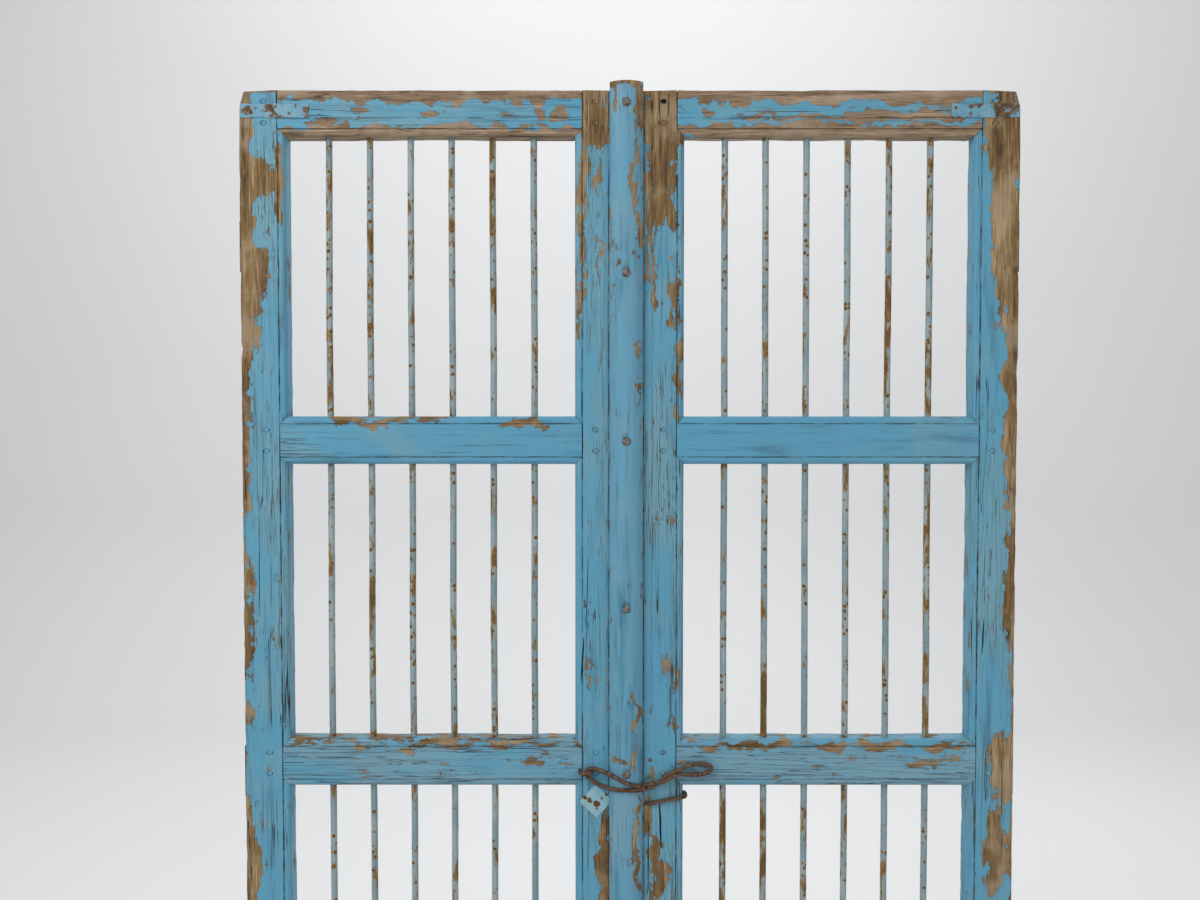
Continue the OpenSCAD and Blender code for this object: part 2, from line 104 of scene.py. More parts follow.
class Slot(str, Enum):
    """Material slots of the record."""

    PAINTED_WOOD = "painted_wood"
    PEG_WOOD = "peg_wood"
    BAR_IRON = "bar_iron"
    PAINTED_SHEET = "painted_sheet"
    NAIL_IRON = "nail_iron"
    RUSTY_WIRE = "rusty_wire"


# Finishes


@dataclass(frozen=True)
class PaintFinish:
    """Old oil paint on wood.

    Attributes:
        fresh: Colour where the paint is sound.
        deep: Colour of its darker streaks, and of the painted shade along the rim of each flake.
        chalk: Colour where it has faded.
        wear: Share of the surface that has lost its paint.
        rub: How much more is lost along the arrises.
        crack: Strength of the cracks along the grain.
        weather: Share of the surface where the grain shows through thin paint.
    """

    fresh: Colour = (0.086, 0.300, 0.435)
    deep: Colour = (0.048, 0.190, 0.285)
    chalk: Colour = (0.155, 0.315, 0.370)
    wear: float = 0.22
    rub: float = 0.30
    crack: float = 0.8
    weather: float = 0.45


@dataclass(frozen=True)
class WoodFinish:
    """Weathered bare wood.

    Attributes:
        dark: Colour of its darkest fibres and hair cracks, and of the painted shade at the edge of each
            flake.
        middle: Colour of most fibres.
        pale: Colour of the palest fibres.
        bleached: Colour of the places that have lain open longest.
        seam: Colour of the dirt in cracks, joints and shakes, and of the painted shade in quirks and beside
            the cover strip.
    """

    dark: Colour = (0.055, 0.030, 0.011)
    middle: Colour = (0.185, 0.106, 0.036)
    pale: Colour = (0.410, 0.290, 0.160)
    bleached: Colour = (0.345, 0.257, 0.158)
    seam: Colour = (0.020, 0.014, 0.010)


@dataclass(frozen=True)
class IronFinish:
    """Painted or bare iron with rust.

    Attributes:
        skin: Colour of the paint, or of the bare metal.
        skin_pale: Lighter tone of the skin.
        rust: Orange rust.
        scale: Dark rust scale.
        rusted: Share of the surface under rust.
        metallic: How metallic the skin is.
        spot: Number of rust blooms in a metre.
        stretch: Length of a bloom against its width, along Z.
        pits: Share of the small round pits that have rusted.
        pit_count: Number of pits in a metre.
    """

    skin: Colour
    skin_pale: Colour
    rust: Colour = (0.255, 0.130, 0.034)
    scale: Colour = (0.062, 0.036, 0.018)
    rusted: float = 0.4
    metallic: float = 0.0
    spot: float = 90.0
    stretch: float = 1.0
    pits: float = 0.0
    pit_count: float = 150.0


@dataclass(frozen=True)
class BarePatch:
    """A place where paint has come off in one piece, or where more rust has come through.

    Attributes:
        x: Middle of the patch, across.
        z: Middle of the patch, upwards.
        half_w: Half its width.
        half_h: Half its height.
        strength: How much wear, or rust, it adds.
        stray: How ragged its outline is.
    """

    x: float
    z: float
    half_w: float
    half_h: float
    strength: float = 0.5
    stray: float = 0.045


@dataclass(frozen=True)
class Split:
    """A split in the front of a timber, along its grain.

    Attributes:
        x: Middle of the split, across.
        z: Middle of the split, upwards.
        length: Length of the split.
        width: Greatest width.
        depth: Greatest depth.
        lean: How far its top lies to the right of its bottom.
    """

    x: float
    z: float
    length: float
    width: float
    depth: float = 0.014
    lean: float = 0.0


@dataclass(frozen=True)
class Seam:
    """A dark line on the front: dirt in a joint or shake, or painted shade in a quirk or beside the cover
    strip.

    Attributes:
        axis: Axis across the seam.
        place: Where the seam crosses that axis.
        strength: How dark it is.
    """

    axis: int
    place: float
    strength: float


SOUND_PAINT = PaintFinish(wear=0.24, weather=0.60)
STRIP_PAINT = PaintFinish(
    fresh=(0.108, 0.300, 0.425),
    chalk=(0.175, 0.320, 0.385),
    rub=0.18,
    crack=0.4,
    weather=0.35,
)
RAIL_PAINT = PaintFinish(fresh=(0.082, 0.295, 0.435), wear=0.21, rub=0.34, crack=0.5, weather=0.36)
TOP_RAIL_PAINT = PaintFinish(wear=0.30, rub=0.36, crack=0.8, weather=0.62)
WEATHERED_RAIL_PAINT = PaintFinish(
    fresh=(0.092, 0.300, 0.430),
    chalk=(0.170, 0.315, 0.385),
    wear=0.29,
    rub=0.34,
    crack=0.9,
    weather=0.85,
)
WORN_PAINT = PaintFinish(wear=0.27, rub=0.36, crack=1.0, weather=0.68)
PEG_PAINT = PaintFinish(wear=0.26, rub=0.0)
BARE_WOOD = WoodFinish()
BLEACHED_WOOD = WoodFinish(
    dark=(0.095, 0.058, 0.030),
    middle=(0.240, 0.162, 0.094),
    pale=(0.440, 0.335, 0.230),
    bleached=(0.365, 0.280, 0.195),
)
BAR_FINISH = IronFinish(
    skin=(0.175, 0.265, 0.295),
    skin_pale=(0.280, 0.350, 0.355),
    rust=(0.290, 0.165, 0.042),
    scale=(0.092, 0.051, 0.019),
    rusted=0.37,
    spot=75.0,
    stretch=3.0,
    pits=0.95,
    pit_count=135.0,
)
SHEET_FINISH = IronFinish(
    skin=(0.185, 0.385, 0.465),
    skin_pale=(0.290, 0.465, 0.520),
    rusted=0.24,
    spot=60.0,
    pits=0.25,
    pit_count=120.0,
)
STRAP_FINISH = IronFinish(
    skin=(0.095, 0.280, 0.395),
    skin_pale=(0.170, 0.325, 0.395),
    rust=(0.215, 0.130, 0.060),
    scale=(0.050, 0.034, 0.022),
    rusted=0.30,
    spot=85.0,
    pits=0.30,
    pit_count=110.0,
)
NAIL_FINISH = IronFinish(
    skin=(0.100, 0.135, 0.150), skin_pale=(0.165, 0.205, 0.220), rusted=0.50, spot=220.0
)
WIRE_FINISH = IronFinish(
    skin=(0.070, 0.042, 0.026),
    skin_pale=(0.150, 0.098, 0.060),
    rust=(0.150, 0.072, 0.030),
    scale=(0.026, 0.017, 0.012),
    rusted=0.52,
    metallic=0.2,
    spot=150.0,
)
HINGE_FINISH = IronFinish(
    skin=(0.090, 0.088, 0.085), skin_pale=(0.150, 0.148, 0.145), rusted=0.42, metallic=0.6, spot=110.0
)
SPECIAL_RAILS: dict[str, tuple[PaintFinish, WoodFinish]] = {
    "top_rail": (TOP_RAIL_PAINT, BLEACHED_WOOD),
    "middle_rail_2": (WEATHERED_RAIL_PAINT, BARE_WOOD),
}

# Joinery that the looks follow

MOULDING_W = 0.011
MOULDING_SHELTER = 0.006
TOP_SHAKE_DROP = 0.041
# Darkness of the shoulder lines: dirt in the joints on the rails, painted shade in the moulding's quirk
# along the stiles.
SHOULDER_DIRT_AND_QUIRK_SHADE = 0.95
# Darkness of the lines along the rails' quirks, which is painted shade, and along the top rail's shake,
# which is dirt.
QUIRK_SHADE_AND_SHAKE_DIRT = 0.75
# Painted shadow of the cover strip on the meeting stiles beside it, and its distance from the strip.
STRIP_SHADOW = 0.90
STRIP_SHADOW_OFF = 0.001

# Damage, placed one by one

SPLITS: dict[str, tuple[Split, ...]] = {
    "right_meeting_stile": (
        Split(0.0475, 0.952, 0.100, 0.0040, lean=-0.003),
        Split(0.029, 0.900, 0.150, 0.0022),
    ),
    "left_meeting_stile": (
        Split(-0.071, 1.205, 0.090, 0.0034, lean=0.006),
        Split(-0.064, 1.300, 0.170, 0.0016, lean=0.004),
    ),
    "right_hinge_stile": (Split(0.536, 1.240, 0.075, 0.0034, lean=0.003),),
    "left_hinge_stile": (Split(-0.560, 1.330, 0.160, 0.0016, lean=0.003),),
}
RUSTED_PLACES: dict[str, tuple[BarePatch, ...]] = {
    "left_corner_strap": (
        BarePatch(-0.536, 2.032, 0.011, 0.007, 0.36, 0.024),
        BarePatch(-0.526, 2.024, 0.009, 0.006, 0.32, 0.024),
        BarePatch(-0.573, 2.030, 0.008, 0.008, 0.26, 0.010),
        BarePatch(-0.484, 2.030, 0.006, 0.010, 0.30, 0.014),
    ),
    "right_corner_strap": (
        BarePatch(0.562, 2.031, 0.020, 0.011, 0.42, 0.020),
        BarePatch(0.512, 2.036, 0.014, 0.007, 0.30, 0.014),
    ),
    "latch_plate": (
        BarePatch(-0.060, 0.990, 0.005, 0.005, 0.45, 0.006),
        BarePatch(-0.048, 0.984, 0.006, 0.005, 0.45, 0.006),
    ),
    "bars": (
        BarePatch(0.144, 0.920, 0.020, 0.070, 0.30, 0.0),
        BarePatch(0.206, 0.900, 0.020, 0.090, 0.22, 0.0),
        BarePatch(0.206, 1.130, 0.020, 0.050, 0.30, 0.0),
        BarePatch(-0.392, 1.800, 0.020, 0.170, 0.10, 0.0),
        BarePatch(-0.206, 1.850, 0.020, 0.170, 0.12, 0.0),
        BarePatch(-0.392, 1.350, 0.020, 0.150, 0.12, 0.0),
        BarePatch(0.392, 1.750, 0.020, 0.150, 0.12, 0.0),
        BarePatch(0.454, 1.300, 0.020, 0.160, 0.12, 0.0),
    ),
}

PATCHES: dict[str, tuple[BarePatch, ...]] = {
    "left_hinge_stile": (
        BarePatch(-0.578, 1.900, 0.013, 0.230, 0.62),
        BarePatch(-0.551, 1.929, 0.020, 0.032, 0.50),
        BarePatch(-0.555, 1.795, 0.020, 0.040, 0.46),
        BarePatch(-0.5245, 1.925, 0.006, 0.070, 0.40, 0.012),
        BarePatch(-0.567, 1.717, 0.014, 0.060, 0.50),
        BarePatch(-0.578, 1.560, 0.009, 0.130, 0.50),
        BarePatch(-0.576, 1.250, 0.008, 0.160, 0.26),
        BarePatch(-0.576, 0.890, 0.013, 0.080, 0.56),
        BarePatch(-0.577, 0.620, 0.010, 0.110, 0.44),
        BarePatch(-0.560, 0.400, 0.014, 0.050, 0.40),
        BarePatch(-0.570, 0.060, 0.022, 0.060, 0.54),
    ),
    "left_meeting_stile": (
        BarePatch(-0.052, 2.030, 0.026, 0.052, 0.66),
        BarePatch(-0.073, 1.827, 0.009, 0.140, 0.38),
        BarePatch(-0.066, 1.950, 0.006, 0.050, 0.40),
        BarePatch(-0.050, 1.930, 0.005, 0.040, 0.34),
        BarePatch(-0.044, 1.800, 0.004, 0.050, 0.32),
        BarePatch(-0.038, 0.880, 0.014, 0.085, 0.58),
        BarePatch(-0.060, 1.199, 0.012, 0.120, 0.18),
        BarePatch(-0.060, 0.660, 0.010, 0.070, 0.38),
        BarePatch(-0.072, 0.360, 0.008, 0.120, 0.38),
        BarePatch(-0.050, 0.050, 0.028, 0.050, 0.48),
    ),
    "right_meeting_stile": (
        BarePatch(0.050, 2.020, 0.032, 0.062, 0.72),
        BarePatch(0.048, 1.915, 0.026, 0.070, 0.48),
        BarePatch(0.028, 1.850, 0.005, 0.090, 0.34),
        BarePatch(0.040, 1.780, 0.004, 0.060, 0.34),
        BarePatch(0.068, 1.740, 0.008, 0.070, 0.38),
        BarePatch(0.074, 1.620, 0.006, 0.070, 0.34),
        BarePatch(0.042, 0.875, 0.014, 0.060, 0.36),
        BarePatch(0.030, 0.980, 0.008, 0.090, 0.24),
        BarePatch(0.060, 1.160, 0.016, 0.110, 0.18),
        BarePatch(0.062, 0.700, 0.010, 0.080, 0.38),
        BarePatch(0.034, 0.400, 0.007, 0.110, 0.34),
        BarePatch(0.040, 0.045, 0.026, 0.050, 0.52),
    ),
    "right_hinge_stile": (
        BarePatch(0.560, 1.985, 0.030, 0.070, 0.62),
        BarePatch(0.562, 1.830, 0.022, 0.110, 0.60),
        BarePatch(0.575, 1.620, 0.012, 0.160, 0.52),
        BarePatch(0.578, 1.350, 0.009, 0.160, 0.32),
        BarePatch(0.567, 1.035, 0.020, 0.052, 0.50),
        BarePatch(0.560, 0.910, 0.020, 0.070, 0.52),
        BarePatch(0.574, 0.600, 0.012, 0.120, 0.46),
        BarePatch(0.556, 0.300, 0.016, 0.060, 0.42),
        BarePatch(0.565, 0.060, 0.024, 0.070, 0.56),
    ),
    "left_top_rail": (
        BarePatch(-0.300, 2.056, 0.300, 0.013, 0.66),
        BarePatch(-0.300, 1.995, 0.300, 0.011, 0.60),
        BarePatch(-0.400, 2.034, 0.022, 0.009, 0.34),
        BarePatch(-0.296, 2.030, 0.016, 0.007, 0.30),
        BarePatch(-0.136, 2.032, 0.012, 0.016, 0.46),
        BarePatch(-0.105, 2.026, 0.016, 0.008, 0.42),
        BarePatch(-0.462, 2.014, 0.026, 0.010, 0.36),
    ),
    "right_top_rail": (
        BarePatch(0.300, 2.054, 0.300, 0.013, 0.70),
        BarePatch(0.300, 1.998, 0.300, 0.013, 0.74),
        BarePatch(0.430, 2.024, 0.110, 0.006, 0.42),
        BarePatch(0.230, 2.022, 0.080, 0.005, 0.34),
        BarePatch(0.330, 2.018, 0.120, 0.004, 0.32),
        BarePatch(0.120, 2.030, 0.010, 0.006, 0.34),
        BarePatch(0.470, 2.040, 0.030, 0.008, 0.34),
    ),
    "left_middle_rail_1": (
        BarePatch(-0.402, 1.568, 0.060, 0.009, 0.46),
        BarePatch(-0.164, 1.562, 0.042, 0.009, 0.42),
        BarePatch(-0.300, 1.570, 0.040, 0.005, 0.34),
    ),
    "left_middle_rail_2": (
        BarePatch(-0.300, 1.076, 0.220, 0.008, 0.22),
        BarePatch(-0.130, 1.050, 0.050, 0.012, 0.22),
    ),
    "right_middle_rail_2": (
        BarePatch(0.300, 1.072, 0.230, 0.007, 0.36),
        BarePatch(0.450, 1.050, 0.060, 0.010, 0.20),
    ),
    "left_middle_rail_3": (
        BarePatch(-0.220, 0.586, 0.090, 0.007, 0.40),
        BarePatch(-0.420, 0.560, 0.030, 0.010, 0.34),
    ),
    "right_middle_rail_3": (BarePatch(0.380, 0.586, 0.100, 0.007, 0.40),),
    "left_bottom_rail": (
        BarePatch(-0.300, 0.010, 0.260, 0.012, 0.48),
        BarePatch(-0.400, 0.060, 0.030, 0.012, 0.38),
        BarePatch(-0.180, 0.092, 0.080, 0.007, 0.40),
    ),
    "right_bottom_rail": (
        BarePatch(0.300, 0.012, 0.260, 0.014, 0.50),
        BarePatch(0.200, 0.050, 0.040, 0.012, 0.40),
        BarePatch(0.420, 0.092, 0.070, 0.007, 0.42),
    ),
    "cover_strip": (
        BarePatch(-0.022, 2.052, 0.006, 0.030, 0.40),
        BarePatch(0.012, 2.040, 0.008, 0.045, 0.42),
        BarePatch(-0.004, 2.064, 0.020, 0.006, 0.36),
        BarePatch(0.006, 1.925, 0.006, 0.060, 0.40),
        BarePatch(0.012, 1.850, 0.006, 0.060, 0.42),
        BarePatch(-0.020, 1.780, 0.004, 0.060, 0.24),
        BarePatch(0.015, 1.640, 0.004, 0.080, 0.26),
        BarePatch(0.008, 1.090, 0.005, 0.070, 0.36),
        BarePatch(-0.010, 1.056, 0.012, 0.008, 0.36),
        BarePatch(0.010, 0.930, 0.005, 0.080, 0.40),
        BarePatch(-0.006, 0.905, 0.014, 0.010, 0.34),
        BarePatch(0.012, 0.450, 0.006, 0.080, 0.36),
        BarePatch(-0.006, 0.040, 0.018, 0.040, 0.42),
    ),
}


# Textures


@dataclass(frozen=True)
class Mottle:
    """A noise that breaks up a finish or a shape.

    Attributes:
        scale: Features in one unit of its coordinates.
        detail: Octaves.
        rough: Weight of the fine octaves.
        along: Share that the coordinate along the grain keeps, small for long features.
    """

    scale: float
    detail: float
    rough: float
    along: float = 1.0


BROAD_GRAIN = Mottle(70.0, 5.0, 0.6, 0.07)
FIBRES = Mottle(420.0, 3.0, 0.6, 0.07)
BLEACHED_PLACES = Mottle(16.0, 4.0, 0.6)
BIG_FLAKES = Mottle(46.0, 6.0, 0.62, 0.5)
LONG_FLAKES = Mottle(190.0, 4.0, 0.6, 0.12)
FLECKS = Mottle(430.0, 2.0, 0.5, 0.5)
RAGGED_OUTLINE = Mottle(34.0, 4.0, 0.5)
CRACK_LINES = Mottle(62.0, 3.0, 0.5, 0.022)
CRACK_PLACES = Mottle(7.0, 2.0, 0.5)
HAIR_CRACKS = Mottle(210.0, 2.0, 0.5, 0.03)
WEATHER_ZONES = Mottle(11.0, 4.0, 0.6, 0.3)
PAINT_STREAKS = Mottle(60.0, 4.0, 0.6, 0.09)
FADED_CLOUDS = Mottle(9.0, 4.0, 0.6)
DIRT_BREAKS = Mottle(38.0, 4.0, 0.7)
RUST_BLOOMS = Mottle(1.0, 6.0, 0.64)
RUST_GRIT = Mottle(9.0, 3.0, 0.6)
SKIN_TONES = Mottle(0.6, 4.0, 0.6)
PITTED_ZONES = Mottle(8.0, 3.0, 0.6)
PIT_OUTLINE = Mottle(2.0, 2.0, 0.5)
STAGE_CLOUDS = Mottle(1.3, 3.0, 0.5)
BAR_BENDS = Mottle(2.2, 2.0, 0.5)
BAR_DENTS = Mottle(95.0, 2.0, 0.5)
HEAD_DENTS = Mottle(240.0, 2.0, 0.5)
PEG_DENTS = Mottle(300.0, 2.0, 0.5)
NOISE_MEAN = 0.5

# Wear of the paint

UNWORN_LIMIT = 0.27
FLAKE_EDGE = 0.006
RUB_REACH = 0.009
ZONE_LOW = 0.66
ZONE_HIGH = 0.82
ZONE_GAIN = 0.32
SOUND_THINNESS = 0.15
GRAIN_SHIFT = (0.37, 0.11, 1.93)
BARE_ROUGHNESS = 0.88
PAINT_ROUGHNESS = 0.62
WOOD_RELIEF = 0.0010

# Dark seam lines: dirt in joints and shakes, painted shade in quirks and beside the cover strip

SEAM_WIDTH = 0.0024
LEAST_SEAM = 0.0001
SEAM_HEART = 0.0002
SEAM_DEPTH = 0.010
SEAM_END_DEPTH = 0.013

# Rust

RUSTLESS_LIMIT = 0.74
LEAST_PITTED = 0.15
LEAST_PIT = 0.14
PIT_STRAY = (0.5, 0.5, 0.5)
SKIN_ROUGHNESS = 0.52
RUST_ROUGHNESS = 0.9
RUST_METALLIC = 0.05
IRON_RELIEF = 0.0005

# Backdrop

STAGE_DIM_SHARE = 0.96


# Node wiring


class Sketch:
    """Shorthand for wiring the nodes of one tree."""

    def __init__(self, tree: bpy.types.NodeTree) -> None:
        """Starts on a tree.

        Args:
            tree: Tree that gets the nodes.
        """
        self.tree = tree

    def add(self, kind: str, **settings: Any) -> bpy.types.Node:
        """Adds a node.

        Args:
            kind: Node type.
            settings: Node properties to set.

        Returns:
            The new node.
        """
        node = self.tree.nodes.new(kind)
        for name, value in settings.items():
            setattr(node, name, value)
        return node

    def feed(self, socket: bpy.types.NodeSocket, value: Any) -> None:
        """Links a socket to another, or sets its constant.

        Args:
            socket: Input that takes the value.
            value: Output socket or constant.
        """
        if isinstance(value, bpy.types.NodeSocket):
            self.tree.links.new(value, socket)
        elif isinstance(value, tuple) and socket.type == "RGBA":
            socket.default_value = (*value[:3], 1.0)
        else:
            socket.default_value = value

    def math(
        self, operation: str, first: Any, second: Any = 0.0, clamp: bool = False
    ) -> bpy.types.NodeSocket:
        """Adds a calculation on two values.

        Args:
            operation: Math operation.
            first: First value.
            second: Second value.
            clamp: Whether the result is kept between 0 and 1.

        Returns:
            The result.
        """
        node = self.add("ShaderNodeMath", operation=operation, use_clamp=clamp)
        self.feed(node.inputs[0], first)
        self.feed(node.inputs[1], second)
        return node.outputs[0]

    def scaled(self, value: Any, share: Any) -> bpy.types.NodeSocket:
        """Takes a share of a value."""
        return self.math("MULTIPLY", value, share)

    def inverse(self, mask: Any) -> bpy.types.NodeSocket:
        """Turns a mask round, so that one becomes zero."""
        return self.math("SUBTRACT", 1.0, mask)

    def apart(self, first: Any, second: Any) -> bpy.types.NodeSocket:
        """Measures how far two values lie apart."""
        return self.math("ABSOLUTE", self.math("SUBTRACT", first, second))

    def total(self, first: Any, *others: Any) -> Any:
        """Adds values up.

        Args:
            first: First value.
            others: Values to add to it.

        Returns:
            Their sum, or the first value where it stands alone.
        """
        for other in others:
            first = self.math("ADD", first, other)
        return first

    def vector(self, operation: str, first: Any, second: Any) -> bpy.types.NodeSocket:
        """Adds a calculation on two vectors.

        Args:
            operation: Vector operation.
            first: First vector.
            second: Second vector.

        Returns:
            The result.
        """
        node = self.add("ShaderNodeVectorMath", operation=operation)
        self.feed(node.inputs[0], first)
        self.feed(node.inputs[1], second)
        return node.outputs["Vector"]

    def length(self, vector: Any) -> bpy.types.NodeSocket:
        """Measures a vector.

        Args:
            vector: The vector.

        Returns:
            Its length.
        """
        node = self.add("ShaderNodeVectorMath", operation="LENGTH")
        self.feed(node.inputs[0], vector)
        return node.outputs["Value"]

    def parts(self, vector: Any) -> tuple[bpy.types.NodeSocket, ...]:
        """Takes a vector apart.

        Args:
            vector: The vector.

        Returns:
            Its three parts.
        """
        node = self.add("ShaderNodeSeparateXYZ")
        self.feed(node.inputs[0], vector)
        return tuple(node.outputs)

    def mix(self, factor: Any, first: Any, second: Any) -> bpy.types.NodeSocket:
        """Mixes two colours.

        Args:
            factor: Share of the second colour.
            first: First colour.
            second: Second colour.

        Returns:
            The mixed colour.
        """
        node = self.add("ShaderNodeMix", data_type="RGBA")
        self.feed(node.inputs[0], factor)
        self.feed(node.inputs[6], first)
        self.feed(node.inputs[7], second)
        return node.outputs[2]

    def blend(self, factor: Any, first: Any, second: Any) -> bpy.types.NodeSocket:
        """Mixes two values.

        Args:
            factor: Share of the second value.
            first: First value.
            second: Second value.

        Returns:
            The mixed value.
        """
        node = self.add("ShaderNodeMix", data_type="FLOAT")
        self.feed(node.inputs[0], factor)
        self.feed(node.inputs[2], first)
        self.feed(node.inputs[3], second)
        return node.outputs[0]

    def noise(self, vector: Any, mottle: Mottle, threefold: bool = False) -> bpy.types.NodeSocket:
        """Adds a noise.

        Args:
            vector: Coordinates.
            mottle: Features of the noise.
            threefold: Whether three values are put out instead of one.

        Returns:
            The noise, about 0.5 on average.
        """
        if mottle.along != 1.0:
            vector = self.vector("MULTIPLY", vector, (1.0, 1.0, mottle.along))
        node = self.add("ShaderNodeTexNoise")
        self.feed(node.inputs["Vector"], vector)
        node.inputs["Scale"].default_value = mottle.scale
        node.inputs["Detail"].default_value = mottle.detail
        node.inputs["Roughness"].default_value = mottle.rough
        return node.outputs[1 if threefold else 0]

    def stray(self, vector: Any, mottle: Mottle, reach: Any) -> bpy.types.NodeSocket:
        """Makes a move that a fixed noise gives to each place.

        Args:
            vector: The place.
            mottle: Features of the noise.
            reach: Largest move.

        Returns:
            The move.
        """
        noise_values = self.noise(vector, mottle, threefold=True)
        node = self.add("ShaderNodeVectorMath", operation="SCALE")
        self.feed(node.inputs[0], self.vector("SUBTRACT", noise_values, (NOISE_MEAN,) * 3))
        self.feed(node.inputs["Scale"], reach)
        return node.outputs[0]

    def bump(self, height: Any, strength: float, distance: float) -> bpy.types.NodeSocket:
        """Makes a relief.

        Args:
            height: Height at each point.
            strength: Strength of the relief.
            distance: Height of the relief.

        Returns:
            The normal.
        """
        node = self.add("ShaderNodeBump")
        node.inputs["Strength"].default_value = strength
        node.inputs["Distance"].default_value = distance
        self.feed(node.inputs["Height"], height)
        return node.outputs[0]

    def step(self, value: Any, low: Any, high: Any) -> bpy.types.NodeSocket:
        """Rises smoothly from 0 to 1 between two levels.

        Args:
            value: Value to judge.
            low: Level where the rise starts.
            high: Level where it ends.

        Returns:
            The smooth step.
        """
        node = self.add("ShaderNodeMapRange", interpolation_type="SMOOTHSTEP")
        self.feed(node.inputs["Value"], value)
        self.feed(node.inputs["From Min"], low)
        self.feed(node.inputs["From Max"], high)
        return node.outputs[0]

    def group(self, tree: bpy.types.NodeTree, **values: Any) -> bpy.types.Node:
        """Adds a node group.

        Args:
            tree: Group to place.
            values: Inputs by name, with underscores for spaces.

        Returns:
            The group's node.
        """
        node = self.add("ShaderNodeGroup")
        node.node_tree = tree
        for name, value in values.items():
            self.feed(node.inputs[name.replace("_", " ")], value)
        return node


def shader_group(name: str, inputs: dict[str, str], outputs: dict[str, str]) -> tuple[Sketch, Any, Any]:
    """Starts a shader node group.

    Args:
        name: Name of the group.
        inputs: Kind of each input by name: Float, Vector or Color.
        outputs: Kind of each output by name.

    Returns:
        Sketch of the group, the sockets of its inputs and those of its outputs.
    """
    tree = bpy.data.node_groups.new(name, "ShaderNodeTree")
    for label, kind in inputs.items():
        tree.interface.new_socket(name=label, in_out="INPUT", socket_type=f"NodeSocket{kind}")
    for label, kind in outputs.items():
        tree.interface.new_socket(name=label, in_out="OUTPUT", socket_type=f"NodeSocket{kind}")
    sketch = Sketch(tree)
    return sketch, sketch.add("NodeGroupInput").outputs, sketch.add("NodeGroupOutput").inputs


